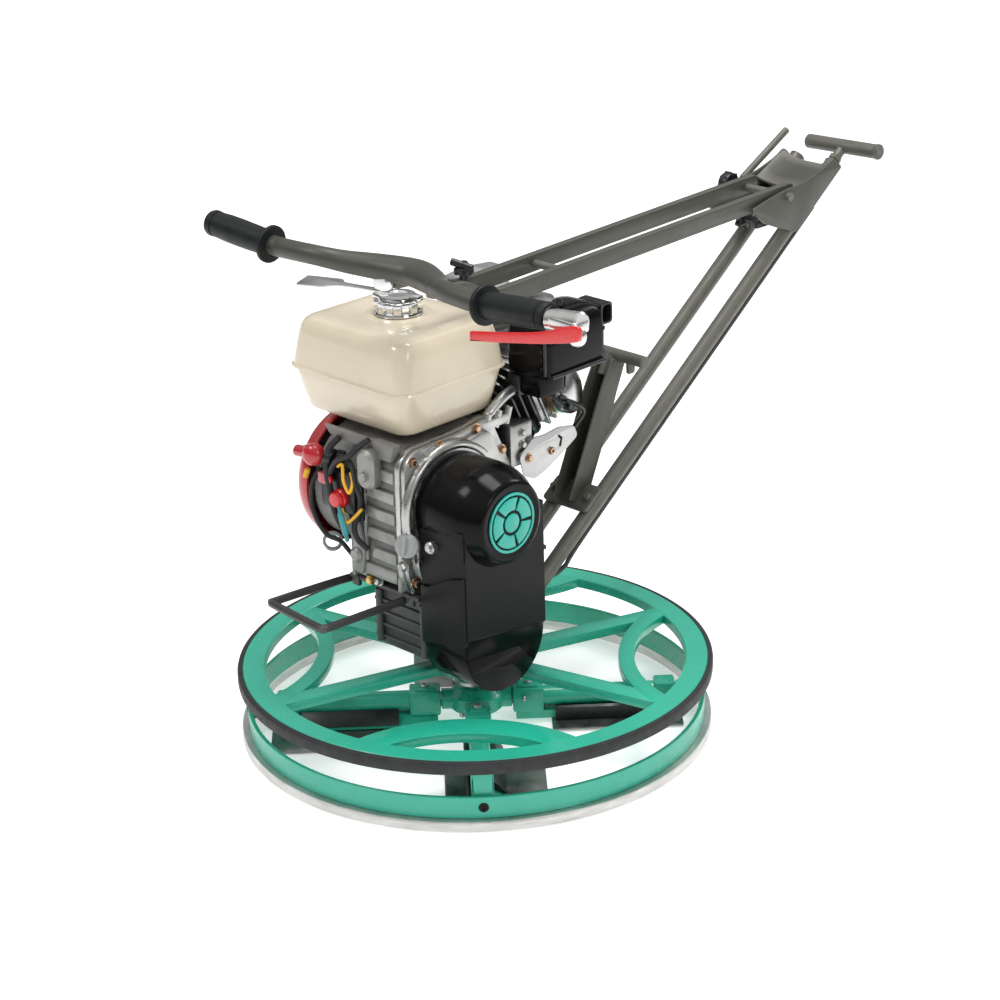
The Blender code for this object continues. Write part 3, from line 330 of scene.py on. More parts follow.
    def pipe(self, points, radius, sides=16, flat=None, cap=0.0, matrix=None):
        """A round or flattened bar along points; radius may be a list, and flat squashes it in Z."""
        points = [Vector(p) for p in points]
        count = len(points)
        radii = radius if isinstance(radius, (list, tuple)) else [radius] * count
        flats = flat if isinstance(flat, (list, tuple)) else [flat or 1.0] * count
        loops = []
        side = None
        for k, point in enumerate(points):
            along = (points[min(k + 1, count - 1)] - points[max(k - 1, 0)]).normalized()
            if side is None:
                guide = Vector((0, 0, 1)) if abs(along.z) < 0.9 else Vector((1, 0, 0))
                side = along.cross(guide).normalized()
            side = (side - along * side.dot(along)).normalized()
            up = side.cross(along)
            loops.append([point + side * (radii[k] * math.cos(t)) + up * (radii[k] * flats[k] * math.sin(t))
                          for t in (j * math.tau / sides for j in range(sides))])
        if cap:
            for index, step in ((0, -1), (len(loops) - 1, 1)):
                centre = points[0 if step < 0 else -1]
                inner = points[1 if step < 0 else -2]
                out = (centre - inner).normalized() * cap
                ring = [centre + (p - centre) * 0.72 + out for p in loops[index]]
                if step < 0:
                    loops.insert(0, ring)
                else:
                    loops.append(ring)
        return self.loft(loops, matrix)

    def bolt(self, at, out, radius, height, matrix=None):
        """A hexagon head on a washer, standing on a face whose outward direction is out."""
        at, out = Vector(at), Vector(out).normalized()
        self.rod(at - out * 0.0005, at + out * 0.0012, radius * 1.45, sides=24, matrix=matrix,
                chamfer=0.0003)
        profile = [(0, 0), (radius, 0), (radius, height * 0.8), (radius * 0.8, height), (0, height)]
        return self.turned(profile, at + out * 0.001, out, 6, matrix)

    def screw(self, at, out, radius, height, matrix=None):
        """A low round head with a socket."""
        at, out = Vector(at), Vector(out).normalized()
        profile = [(0, -0.0006), (radius, -0.0006), (radius, height * 0.6), (radius * 0.8, height),
                   (radius * 0.42, height), (radius * 0.42, height * 0.35), (0, height * 0.35)]
        return self.turned(profile, at, out, 20, matrix)

    def piece(self, name, finish, replaces=(), body="frame", bevel=0.0):
        """Finish the shape as one piece that rides on a body."""
        data = bpy.data.meshes.new(name)
        bmesh.ops.recalc_face_normals(self.mesh, faces=self.mesh.faces)
        self.mesh.to_mesh(data)
        self.mesh.free()
        data.materials.append(FINISH[finish])
        made = bpy.data.objects.new(name, data)
        bpy.context.scene.collection.objects.link(made)
        made.location = ORIGIN
        data.shade_smooth()
        data.set_sharp_from_angle(angle=SHARP_ANGLE)
        if bevel:
            edge = made.modifiers.new("bevel", "BEVEL")
            edge.width = bevel
            edge.segments = 2
            edge.limit_method = "ANGLE"
            edge.angle_limit = BEVEL_ANGLE
            edge.harden_normals = False
        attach(made, body)
        if replaces:
            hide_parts(*replaces)
        return made


def arc(centre, radius, start, end, steps):
    turns = [start + (end - start) * k / steps for k in range(steps + 1)]
    return [(centre[0] + radius * math.cos(t), centre[1] + radius * math.sin(t)) for t in turns]


def smooth_route(points, steps=8):
    """Catmull-Rom points through a route."""
    ends = [points[0], *points, points[-1]]
    route = []
    for a, b, c, d in zip(ends, ends[1:], ends[2:], ends[3:]):
        a, b, c, d = Vector(a), Vector(b), Vector(c), Vector(d)
        for k in range(steps):
            t = k / steps
            route.append(0.5 * (2 * b + (c - a) * t + (2 * a - 5 * b + 4 * c - d) * t ** 2
                                + (3 * b - a - 3 * c + d) * t ** 3))
    route.append(Vector(points[-1]))
    return route


def rounded_outline(points, radius, steps=4):
    """The outline with each corner replaced by an arc-like curve of about that radius."""
    result = []
    count = len(points)
    for k in range(count):
        before, here, after = (Vector(points[(k + j) % count]) for j in (-1, 0, 1))
        size = radius if not isinstance(radius, (list, tuple)) else radius[k]
        reach = min(size, (before - here).length * 0.48, (after - here).length * 0.48)
        if reach < 1e-6:
            result.append(tuple(here))
            continue
        start = here + (before - here).normalized() * reach
        end = here + (after - here).normalized() * reach
        for j in range(steps + 1):
            t = j / steps
            result.append(tuple(start * (1 - t) ** 2 + here * 2 * t * (1 - t) + end * t ** 2))
    return result


def superellipse_loop(centre, half_x, half_y, corner, z, steps=10):
    """A rounded rectangle as a loop of points at one height."""
    cx, cy = centre
    loop = []
    for quarter, (sx, sy) in enumerate(((1, 1), (-1, 1), (-1, -1), (1, -1))):
        middle = (cx + sx * (half_x - corner), cy + sy * (half_y - corner))
        start = quarter * math.pi / 2
        loop += [(x, y, z) for x, y in arc(middle, corner, start, start + math.pi / 2, steps)]
    return loop


def lobed_outline(centre, lobes, dip, tip, spread, rise):
    """A star knob's outline: each lobe is flat at the tip radius and falls to the dip radius."""
    outline = []
    for index in range(lobes):
        for share, radius in ((-spread, dip), (-rise, tip), (rise, tip), (spread, dip)):
            turn = index * math.tau / lobes + share * math.tau / lobes
            outline.append((centre[0] + radius * math.cos(turn), centre[1] + radius * math.sin(turn)))
    return outline


def turned_about(direction):
    """Matrix that turns the +X direction to an angle in the XY plane, in degrees."""
    return Matrix.Rotation(math.radians(direction), 4, "Z")


# ================================================================ kept CAD nodes
KEPT = {
    "output_shaft": "steel", "worm_wheel": "brass", "worm_shaft": "steel", "input_pulley": "steel",
    "crankshaft": "steel", "clutch_pulley": "steel", "output_bearing": "steel", "drive_belt": "rubber",
    "starter_reel": "black", "flywheel": "bright_cast", "fold_pin": "olive",
}


def finish_kept():
    """Every CAD node starts with a procedural finish; the replaced ones are hidden later."""
    by_slot = {slot: finish for finish, slot in reversed(SLOT.items())}
    slots = {row["node"]: row["material_slot"] for row in frame["record"]["subparts"]}
    for name, node in frame["nodes"].items():
        node.data.materials.clear()
        node.data.materials.append(FINISH[KEPT.get(name, by_slot[slots[name]])])
        node.data.shade_smooth()
        node.data.set_sharp_from_angle(angle=math.radians(35))


finish_kept()


# ================================================================ rotor, guard and blades
RING_R, HOOP_R, HOOP_IN_R = 0.3, 0.2915, 0.2865
GUARD_R, GUARD_IN_R, BUMPER_R = 0.2952, 0.267, 0.302
GUARD_TOP, RIB_BOTTOM = 0.093, 0.0797
ARM_DIRECTIONS = [-43 + 90 * k for k in range(4)]
ARM_Z = 0.031


def make_rings():
    Shape().turned([(0.2865, 0.0005), (0.287, 0), (0.2988, 0), (0.2998, 0.0006), (RING_R, 0.0016),
                    (RING_R, 0.0124), (0.2993, 0.0136), (0.287, 0.0136), (0.2865, 0.0132)],
                   sides=224).piece("ring_wear_band", "band", ["wear_ring"], "rotor")
    hoop = Shape().turned([(HOOP_IN_R, 0.0142), (HOOP_R, 0.0142), (HOOP_R, 0.0412), (HOOP_R - 0.0008,
            0.042), (HOOP_IN_R + 0.0008, 0.042), (HOOP_IN_R, 0.0412)], sides=224)
    hoop.piece("ring_hoop", "teal", ["lower_ring"], "rotor")
    for index, direction in enumerate(ARM_DIRECTIONS):
        turn = turned_about(direction)
        # The ring bolts take the near-black hole finish: painted shade in their recesses.
        bolt = Shape()
        bolt.turned([(0, 0), (0.0062, 0), (0.0062, 0.0006), (0.0052, 0.0016), (0.003, 0.002),
                     (0.0027, 0.0004), (0, 0.0004)], (HOOP_R - 0.0001, 0, 0.0285), (1, 0, 0), 24, turn)
        bolt.piece(f"ring_bolt_{index + 1}", "hole", body="rotor")


def make_spider():
    body = Shape()
    body.turned([(0, 0.015), (0.024, 0.015), (0.03, 0.018), (0.034, 0.022), (0.034, 0.04),
                 (0.029, 0.044), (0.024, 0.05), (0.0205, 0.0512), (0.0128, 0.0512), (0.0128, 0.032),
                 (0, 0.032)], sides=48)
    for direction in ARM_DIRECTIONS:
        turn = turned_about(direction)
        body.rod((0.018, 0, ARM_Z), (0.045, 0, ARM_Z), 0.0135, sides=32, matrix=turn, chamfer=0.001)
        body.rod((0.04, 0, ARM_Z), (0.27, 0, ARM_Z), 0.0098, sides=32, matrix=turn)
        post = [(0.269, 0.019), (0.2853, 0.019), (0.2853, 0.0735), (0.28, 0.0735), (0.269, 0.06)]
        body.plate(post, "Y", -0.0112, 0.0112, matrix=turn, bevel=0.0012)
        body.box((0.256, -0.01, 0.021), (0.275, 0.01, 0.041), 0.002, turn)
    body.piece("rotor_cross", "teal", ["rotor_spider"], "rotor")
    for index, direction in enumerate(ARM_DIRECTIONS):
        turn = turned_about(direction)
        Shape().bolt((0.2745, 0, 0.0668), (-0.6, 0, 0.8), 0.0045, 0.003, matrix=turn).piece(
            f"post_bolt_{index + 1}", "sheet", body="rotor")


def make_blades():
    for index, direction in enumerate(ARM_DIRECTIONS):
        turn = turned_about(direction)
        body = f"blade_{index + 1}"
        outline = rounded_outline([(0.262, -0.045), (0.262, 0.08), (0.095, 0.08), (0.095, -0.045)],
                                  [0.004, 0.018, 0.018, 0.004], 5)
        Shape().plate(outline, "Z", 0.001, 0.0037, matrix=turn, bevel=0.0005).piece(
            f"blade_plate_{index + 1}", "blade", [f"trowel_blade_{index + 1}"], body)

        holder = Shape()
        holder.box((0.046, -0.0162, 0.0147), (0.086, 0.0162, 0.0473), 0.003, turn)
        holder.box((0.052, -0.011, 0.046), (0.078, 0.011, 0.05), 0.0015, turn)
        holder.box((0.227, -0.0138, 0.012), (0.254, 0.0138, 0.047), 0.003, turn)
        holder.rod((0.084, 0, ARM_Z), (0.23, 0, ARM_Z), 0.0128, sides=32, matrix=turn)
        holder.plate([(-0.014, 0.0155), (-0.014, 0.0048), (0.026, 0.0048), (0.026, 0.0085),
                (0.0135, 0.0155)], "X", 0.05, 0.256, matrix=turn, bevel=0.0008)
        holder.piece(f"blade_carrier_{index + 1}", "teal", [f"blade_holder_{index + 1}"], body)

        trim = Shape()
        trim.screw((0.066, 0, 0.05), (0, 0, 1), 0.0055, 0.003, matrix=turn)
        trim.bolt((0.0475, 0.009, 0.039), (-1, 0, 0), 0.0035, 0.002, matrix=turn)
        trim.turned([(0, 0), (0.0022, 0), (0.0022, 0.002), (0.0034, 0.0035), (0.002, 0.0065), (0, 0.0075)],
                    (0.06, -0.016, 0.036), (0, -1, 0), 16, turn)
        trim.piece(f"blade_bolts_{index + 1}", "sheet", body=body)
        band = Shape()
        band.plate([(-0.02, 0.0048), (-0.0142, 0.0048), (-0.0142, 0.021), (-0.0165, 0.023), (-0.02, 0.021)],
                   "X", 0.1, 0.252, matrix=turn, bevel=0.0005)
        # The second black plate is partly a shield and partly painted shade inside the rotor.
        band.plate([(0.0142, 0.0165), (0.0275, 0.0095), (0.0295, 0.011), (0.0195, 0.0225), (0.0142, 0.026)],
                   "X", 0.1, 0.224, matrix=turn, bevel=0.0005)
        band.piece(f"blade_shield_{index + 1}", "black", body=body)


RIBS = (
    ("front", -47, 0.224, 20, 0.184, 29),
    ("right", 42, 0.202, 26, 0.182, 32),
    ("back", 133, 0.224, 20, 0.184, 29),
    ("left", -138.5, 0.202, 26, 0.182, 32),
)
SPOKES = (13, 71, -108, -169)


def rib_outline(lens_apex, lens_half, inner_apex, inner_half):
    """A crescent between two circles that both run into the guard's ring."""
    def side(apex, half):
        x = GUARD_IN_R * math.cos(math.radians(half))
        y = GUARD_IN_R * math.sin(math.radians(half))
        centre = (x * x + y * y - apex * apex) / (2 * (x - apex))
        radius = centre - apex
        reach = GUARD_IN_R + 0.01
        spread = math.acos((centre ** 2 + radius ** 2 - reach ** 2) / (2 * centre * radius))
        return arc((centre, 0), radius, math.pi - spread, math.pi + spread, 44)

    return side(inner_apex, inner_half) + side(lens_apex, lens_half)[::-1]


def make_guard():
    ring = Shape()
    ring.turned([(GUARD_IN_R, 0.0805), (0.268, RIB_BOTTOM), (0.287, RIB_BOTTOM), (0.289, 0.0765),
            (GUARD_R, 0.0765), (GUARD_R, 0.092), (GUARD_R - 0.001, GUARD_TOP), (GUARD_IN_R + 0.0014,
            GUARD_TOP), (GUARD_IN_R, 0.0918)], sides=240)
    for _, direction, *numbers in RIBS:
        ring.plate(rib_outline(*numbers), "Z", RIB_BOTTOM + 0.0002, GUARD_TOP - 0.0002,
                   matrix=turned_about(direction), bevel=0.0012)
    for direction in SPOKES:
        ring.box((0.046, -0.013, RIB_BOTTOM + 0.0004), (0.272, 0.013, GUARD_TOP - 0.0005), 0.0014,
                 turned_about(direction))
    ring.turned([(0.04, 0.0805), (0.041, 0.0797), (0.0525, 0.0797), (0.0535, 0.0805), (0.0535, 0.0963),
                 (0.0523, 0.0975), (0.0412, 0.0975), (0.04, 0.0963)], sides=64)
    ring.piece("guard_frame", "teal", ["guard_ring"])

    low = 0.0762
    Shape().turned([(GUARD_R + 0.0003, low), (0.3, low), (BUMPER_R - 0.0004, low + 0.0014),
            (BUMPER_R, 0.08), (BUMPER_R, 0.0895), (BUMPER_R - 0.0005, 0.0912), (0.3, 0.0924),
            (GUARD_R + 0.0003, 0.0924)], sides=240).piece("guard_bumper", "rubber", ["bumper"])
    trim = Shape()
    for direction in (13, 71, -108, -169):
        trim.bolt((0.047, 0, 0.0972), (0, 0, 1), 0.004, 0.003, matrix=turned_about(direction))
    trim.piece("guard_hub_bolts", "sheet")


def make_pitch_linkage():
    Shape().turned([(0.0135, 0.058), (0.027, 0.0576), (0.0295, 0.059), (0.03, 0.06), (0.03, 0.064),
            (0.029, 0.0652), (0.024, 0.0654), (0.0225, 0.064), (0.016, 0.064), (0.015, 0.0654),
            (0.0135, 0.0654)], sides=64).piece("pitch_thrust_collar", "steel", ["pitch_collar"],
            "pitch_collar")
    fork = Shape()
    fork.plate(rounded_outline([(-0.025, -0.006), (-0.0158, -0.006), (-0.0158, 0.008), (0.0158, 0.008),
            (0.0158, -0.006), (0.025, -0.006), (0.026, 0.05), (0.013, 0.084), (-0.013, 0.084),
            (-0.026, 0.05)], [0.003, 0.003, 0.014, 0.014, 0.003, 0.003, 0.01, 0.01, 0.01, 0.01]), "Z",
            0.0687, 0.0733, bevel=0.0006)
    fork.plate(rounded_outline([(-0.009, 0.07), (0.009, 0.07), (0.0065, 0.159), (-0.0065, 0.159)],
                               [0.002, 0.002, 0.006, 0.006]), "Y", 0.0745, 0.083, bevel=0.0008)
    fork.rod((-0.014, 0.078, 0.071), (0.014, 0.078, 0.071), 0.006, sides=24, chamfer=0.0008)
    fork.piece("pitch_fork", "teal", ["pitch_yoke"], "pitch_yoke")


# ================================================================ belt cover and gearbox
CRANK_Y, CRANK_Z = -0.047, 0.318
COVER_BACK, COVER_FRONT, CAP_FRONT = 0.0205, 0.1, 0.12
COVER_MIDDLE_Y = -0.047
COVER_SIDES = (-0.107, 0.0275)          # Y of the flat front part's edges
BADGE_R = 0.038


def make_belt_cover():
    left, right = COVER_SIDES
    drum = Shape()
    drum.turned([(0, COVER_BACK), (0.0655, COVER_BACK), (0.066, 0.022), (0.066, 0.074), (0.0645, 0.088),
                 (0.061, 0.099), (0.0565, 0.107), (0.0535, 0.114), (0.0515, 0.1178), (0.049, 0.1194),
                 (0.046, 0.1198), (0.044, 0.1192), (0, 0.1192)],
                (0, COVER_MIDDLE_Y, CRANK_Z + 0.002), (1, 0, 0), 112)
    lobe = [(left, 0.262), (left, 0.158), *arc((COVER_MIDDLE_Y + 0.0072, 0.156), 0.0672, math.radians(184),
            math.radians(356), 48), (right, 0.262)]
    drum.plate(lobe, "X", COVER_BACK, 0.0975, bevel=0.003)
    drum.piece("cover_drum", "gloss_black", ["belt_cover"])

    face = Shape()
    chamfer = 0.003

    def front_loop(y, knee):
        return [(0.09, y, knee - 0.012), (COVER_FRONT - chamfer, y, knee - chamfer), (COVER_FRONT, y, knee),
                (COVER_FRONT, y, 0.322), (COVER_BACK + 0.002, y, 0.322), (COVER_BACK + 0.002, y,
                knee - 0.012)]

    face.loft([front_loop(left - 0.0004, 0.1775), front_loop(right + 0.0004, 0.16)])
    face.plate([(left + 0.002, 0.148), (-0.018, 0.14), (-0.006, 0.125), (-0.02, 0.118), (left + 0.006,
            0.129)], "X", 0.09, 0.0986, bevel=0.0008)
    face.piece("cover_face", "satin_black", bevel=0.0018)

    walls = Shape()
    walls.plate([(0.026, 0.279), (0.0985, 0.279), (0.0985, 0.318), (0.026, 0.33)], "Y", left - 0.005,
            left + 0.002, bevel=0.0012)
    walls.plate([(0.024, 0.156), (0.0985, 0.17), (0.0985, 0.26), (0.072, 0.252), (0.036, 0.233),
            (0.024, 0.232)], "Y", left - 0.0055, left + 0.002, bevel=0.0012)
    walls.piece("cover_side_panels", "satin_black")

    badge = Shape()
    at = (CAP_FRONT - 0.001, COVER_MIDDLE_Y, CRANK_Z + 0.002)
    badge.turned([(0.0345, 0), (BADGE_R, 0), (BADGE_R, 0.0018), (BADGE_R - 0.0005, 0.0022), (0.035, 0.0022),
                  (0.0345, 0.0018)], at, (1, 0, 0), 96)
    badge.turned([(0, 0), (0.012, 0), (0.012, 0.0018), (0.0112, 0.0022), (0, 0.0022)], at, (1, 0, 0), 48)
    sectors, gap = 5, 0.16
    for index in range(sectors):
        start = index * math.tau / sectors
        stop = start + math.tau / sectors - gap
        outline = arc(at[1:], 0.032, start, stop, 14) + arc(at[1:], 0.016, stop, start, 10)
        badge.plate(outline, "X", at[0], at[0] + 0.0022, bevel=0.0004)
    badge.piece("cover_disc", "badge")

    bolt = Shape()
    bolt.rod((0.05, left - 0.0002, 0.29), (0.05, left - 0.013, 0.29), 0.008, chamfer=0.0015)
    bolt.rod((0.05, left - 0.012, 0.29), (0.05, left - 0.0155, 0.29), 0.0045, chamfer=0.0006)
    bolt.piece("cover_bolt", "bright_cast")


def make_gearbox():
    body = Shape()
    body.box((-0.0785, -0.0925, 0.1175), (0.0192, 0.062, 0.1985), 0.005)
    body.turned([(0.013, 0.0985), (0.05, 0.0985), (0.053, 0.101), (0.053, 0.122), (0.013, 0.122)], sides=64)
    body.rod((0, 0, 0.119), (0, 0, 0.1975), 0.053, sides=64, chamfer=0.002)
    for step in range(4):
        z = 0.1285 + 0.0165 * step
        body.box((-0.08, -0.096, z), (0.019, -0.0915, z + 0.0045), 0.0012)
        body.box((-0.0815, -0.09, z), (-0.0775, 0.06, z + 0.0045), 0.0012)
    for x in (-0.07, 0.0105):
        body.rod((x, -0.096, 0.124), (x, -0.096, 0.196), 0.0048, sides=20, chamfer=0.001)
    body.piece("gearbox_body", "black_cast", ["gearbox_housing"])

    cover = Shape()
    cover.box((-0.0785, -0.0925, 0.1988), (0.05, 0.0625, 0.2056), 0.0015)
    cover.piece("gearbox_lid", "mid_cast", ["gearbox_cover"])
    side = Shape()
    side.plate(rounded_outline([(0.031, 0.12), (0.047, 0.128), (0.05, 0.196), (0.044, 0.235),
            (0.031, 0.25)], 0.006), "X", 0.0345, 0.06, bevel=0.002)
    side.rod((0.03, 0.043, 0.246), (0.064, 0.043, 0.246), 0.0115, chamfer=0.002)
    side.bolt((0.06, 0.04, 0.142), (1, 0, 0), 0.005, 0.004)
    side.bolt((0.06, 0.042, 0.185), (1, 0, 0), 0.005, 0.004)
    side.piece("cover_back_bracket", "bright_cast")
    trim = Shape()
    for x in (-0.062, -0.029, 0.004):
        trim.bolt((x, -0.0925, 0.2035), (0, -1, 0), 0.0035, 0.003)
    trim.piece("gearbox_bolts", "sheet")


# ================================================================ engine block
BED_Z = (0.206, 0.212)
CASE_OUTLINE = [(-0.118, 0.24), (-0.106, 0.2123), (0.06, 0.2123), (0.0692, 0.235), (0.0692, 0.3171),
                (0.027, 0.4075), (-0.02, 0.4), (-0.1, 0.398), (-0.118, 0.382)]
CASE_LEFT, FAN_SIDE_LEFT, FAN_SIDE_R = -0.09, -0.15, 0.08
CONTROL_Y = -0.13


def grown(outline, amount):
    cy = sum(p[0] for p in outline) / len(outline)
    cz = sum(p[1] for p in outline) / len(outline)
    return [(y + amount * (1 if y > cy else -1), z + amount * (1 if z > cz else -1)) for y, z in outline]


def make_bed():
    bed = Shape()
    bed.box((-0.106, -0.112, BED_Z[0]), (0.019, 0.115, BED_Z[1]), 0.0015)
    for x in (-0.094, 0.004):
        bed.box((x - 0.0065, -0.1135, BED_Z[0] - 0.008), (x + 0.0065, -0.1075, BED_Z[1]), 0.0015)
    bed.piece("engine_bed", "black_paint", ["bed_plate"])
    feet = Shape()
    for x in (-0.088, -0.004):
        for y in (-0.105, 0.072):
            out = -1 if y < 0 else 1
            feet.box((x - 0.011, y - 0.004, BED_Z[1] + 0.0002), (x + 0.011, y + 0.03, BED_Z[1] + 0.008),
                    0.002)
            feet.bolt((x, y + 0.006, BED_Z[1] + 0.008), (0, 0, 1), 0.0055, 0.005)
            feet.box((x - 0.003, y - 0.004 + 0.012 * out, BED_Z[1] + 0.004), (x + 0.003, y + 0.02, 0.236),
                    0.0015)
    feet.piece("engine_feet", "mid_cast")


def make_case():
    case = Shape()
    case.plate(rounded_outline(CASE_OUTLINE, 0.01), "X", CASE_LEFT, -0.005, bevel=0.003)
    case.turned([(0.03, FAN_SIDE_LEFT), (0.074, FAN_SIDE_LEFT), (FAN_SIDE_R, FAN_SIDE_LEFT + 0.004),
            (FAN_SIDE_R, CASE_LEFT + 0.002), (0.03, CASE_LEFT + 0.002)], (0, CRANK_Y, CRANK_Z), (1, 0, 0),
            80)
    # The case body takes the darker copy of the casting: painted shade between the front ribs.
    case.piece("case_body", "dark_cast", ["crankcase"])

    ribs = Shape()
    for step, z in enumerate((0.252, 0.278, 0.305, 0.332, 0.359)):
        start = (-0.05, -0.058, -0.06, -0.056, -0.05)[step]
        ribs.plate([(start, z), (-0.006, z - 0.001), (-0.006, z + 0.014), (start + 0.004, z + 0.014)],
                   "Y", -0.1235, -0.116, bevel=0.0024)
    ribs.box((-0.064, -0.122, 0.244), (-0.058, -0.117, 0.376), 0.002)
    ribs.box((-0.088, -0.1215, 0.224), (-0.008, -0.112, 0.242), 0.004)
    ribs.plate(rounded_outline([(-0.086, 0.224), (-0.066, 0.224), (-0.06, 0.262), (-0.072, 0.296),
                                (-0.086, 0.296)], 0.006), "Y", -0.1245, -0.116, bevel=0.002)
    ribs.rod((-0.076, -0.116, 0.248), (-0.076, -0.129, 0.248), 0.01, chamfer=0.003)
    # The ribs take the lighter copy of the casting: painted highlight on the ribs.
    ribs.piece("case_front_ribs", "mid_cast")

    flange = Shape()
    flange.plate(rounded_outline(grown(CASE_OUTLINE, 0.0035), 0.012), "X", -0.0052, 0.0035, bevel=0.0012)
    flange.plate(rounded_outline(grown(CASE_OUTLINE, 0.0015), 0.012), "X", 0.0042, 0.011, bevel=0.0014)
    flange.plate(rounded_outline(grown(CASE_OUTLINE, -0.008), 0.016), "X", 0.0095, 0.0198, bevel=0.004)
    ridge = [(0.015, CRANK_Y + 0.075 * math.cos(t), CRANK_Z + 0.075 * math.sin(t))
             for t in (math.radians(40 + 6 * k) for k in range(27))]
    flange.pipe(ridge, 0.0068, 14)
    flange.piece("case_side_cover", "bright_cast", ["crankcase_cover"])
    bolts = Shape()
    places = [((CASE_OUTLINE[k][0] + CASE_OUTLINE[(k + 1) % 9][0]) / 2 * 0.97,
            (CASE_OUTLINE[k][1] + CASE_OUTLINE[(k + 1) % 9][1] - 2 * 0.31) / 2 * 0.965
            + 0.31) for k in range(9)]
    for y, z in places:
        bolts.bolt((0.0108, y, z), (1, 0, 0), 0.0046, 0.0045)
    bolts.piece("case_side_bolts", "copper")

    cap = Shape()
    at = Vector((0.0135, -0.115, 0.283))
    way = Vector((0.35, -0.85, 0.3)).normalized()
    cap.rod(at, at + way * 0.012, 0.013, chamfer=0.001)
    cap.rod(at + way * 0.011, at + way * 0.019, 0.0155, 0.014, chamfer=0.003)
    cap.box((-0.0022, -0.011, 0), (0.0022, 0.011, 0.024), 0.0016,
            Matrix.Translation(at) @ way.to_track_quat("Z", "Y").to_matrix().to_4x4())
    cap.piece("oil_filler_cap", "grey_plastic")
    plug = Shape()
    plug.rod((0.01, -0.116, 0.26), (0.01, -0.124, 0.258), 0.008, chamfer=0.001)
    plug.bolt((0.01, -0.124, 0.258), (0, -1, -0.2), 0.0062, 0.007)
    plug.bolt((-0.048, -0.114, 0.218), (0, -1, 0), 0.005, 0.006)
    plug.piece("oil_drain_bolts", "bright_cast")
    fitting = Shape()
    fitting.rod((-0.056, -0.112, 0.2195), (-0.056, -0.126, 0.2185), 0.0048, sides=24, chamfer=0.0008)
    fitting.turned([(0, 0), (0.0062, 0), (0.0062, 0.005), (0, 0.005)], (-0.056, -0.1185, 0.219), (0, -1, 0),
            6)
    fitting.piece("oil_drain_fitting", "brass")


SLOPE = math.radians(25)
SLANT = Matrix.Translation((0, CRANK_Y, CRANK_Z)) @ Matrix.Rotation(SLOPE, 4, "X")


def fin_loop(half_x, low, high, y, corner):
    """A rounded fin outline across the cylinder, in the plane Y = y of the slanted frame."""
    middle_z, half_z = (low + high) / 2, (high - low) / 2
    return [(x, y, z) for x, z, _ in superellipse_loop((-0.075, middle_z), half_x, half_z, corner, y, 8)]


def make_cylinder():
    barrel = Shape()
    barrel.loft([fin_loop(0.05, -0.044, 0.04, y, 0.02) for y in (0.106, 0.196)], SLANT)
    for index in range(7):
        y = 0.11 + index * 0.0122
        loops = [fin_loop(0.0655, -0.059, 0.05, y, 0.03), fin_loop(0.067, -0.0605, 0.0515, y + 0.001,
                0.031), fin_loop(0.067, -0.0605, 0.0515, y + 0.0034, 0.031), fin_loop(0.0655, -0.059, 0.05,
                y + 0.0044, 0.03)]
        barrel.loft(loops, SLANT)
    barrel.piece("cylinder_fins", "gloss_fins", ["cylinder"])

    head = Shape()
    head.box((-0.132, 0.1965, -0.05), (-0.018, 0.236, 0.048), 0.006, SLANT)
    for index in range(6):
        x = -0.126 + index * 0.02
        head.box((x, 0.234, -0.044), (x + 0.005, 0.246, 0.042), 0.0016, SLANT)
    for index in range(3):
        y = 0.203 + index * 0.0115
        head.box((-0.136, y, -0.054), (-0.014, y + 0.0045, 0.052), 0.0016, SLANT)
    head.piece("head_casting", "bright_cast", ["cylinder_head"])
    studs = Shape()
    for x in (-0.122, -0.028):
        for z in (-0.04, 0.038):
            studs.bolt((x, 0.2455, z), (0, 1, 0), 0.0052, 0.006, matrix=SLANT)
    studs.piece("head_nuts", "chrome")
    plug = Shape()
    plug.turned([(0, 0.2365), (0.0105, 0.2365), (0.011, 0.24), (0.009, 0.244), (0.01, 0.248),
            (0.009, 0.252), (0.01, 0.256), (0.0095, 0.27), (0.008, 0.2745), (0, 0.275)], (-0.075, 0, 0.02),
            (0, 1, 0), 32, SLANT)
    plug.piece("plug_cap", "rubber", ["spark_plug"])
    lead = [SLANT @ Vector(p) for p in ((-0.075, 0.272, 0.02), (-0.095, 0.283, 0.026), (-0.125, 0.262,
            0.03), (-0.146, 0.2, 0.014), (-0.146, 0.13, 0.01))]
    Shape().pipe(smooth_route(lead, 8), 0.0034, 12).piece("plug_lead", "rubber")

    rods = Shape()
    rods.pipe(smooth_route([(0.002, 0.03, 0.405), (0.002, 0.06, 0.423), (-0.004, 0.1, 0.429),
                            (-0.01, 0.13, 0.434)], 6), 0.0068, 16)
    rods.box((-0.018, 0.012, 0.392), (0.012, 0.062, 0.406), 0.003)
    for y in (0.022, 0.04, 0.058):
        rods.rod((0.006, y, 0.39), (0.006, y + 0.008, 0.412), 0.0058, sides=20, chamfer=0.001)
    rods.box((-0.01, 0.06, 0.33), (0.014, 0.1, 0.386), 0.004)
    for z in (0.342, 0.358, 0.374):
        rods.bolt((0.014, 0.08, z), (1, 0, 0), 0.0042, 0.004)
    rods.piece("engine_right_fittings", "bright_cast")


GUARD_PLATE_OUTLINE = [(0.069, 0.345), (0.095, 0.365), (0.111, 0.3627), (0.143, 0.366), (0.169, 0.36),
                       (0.175, 0.3443), (0.149, 0.33), (0.1175, 0.315), (0.0962, 0.308), (0.076, 0.318)]


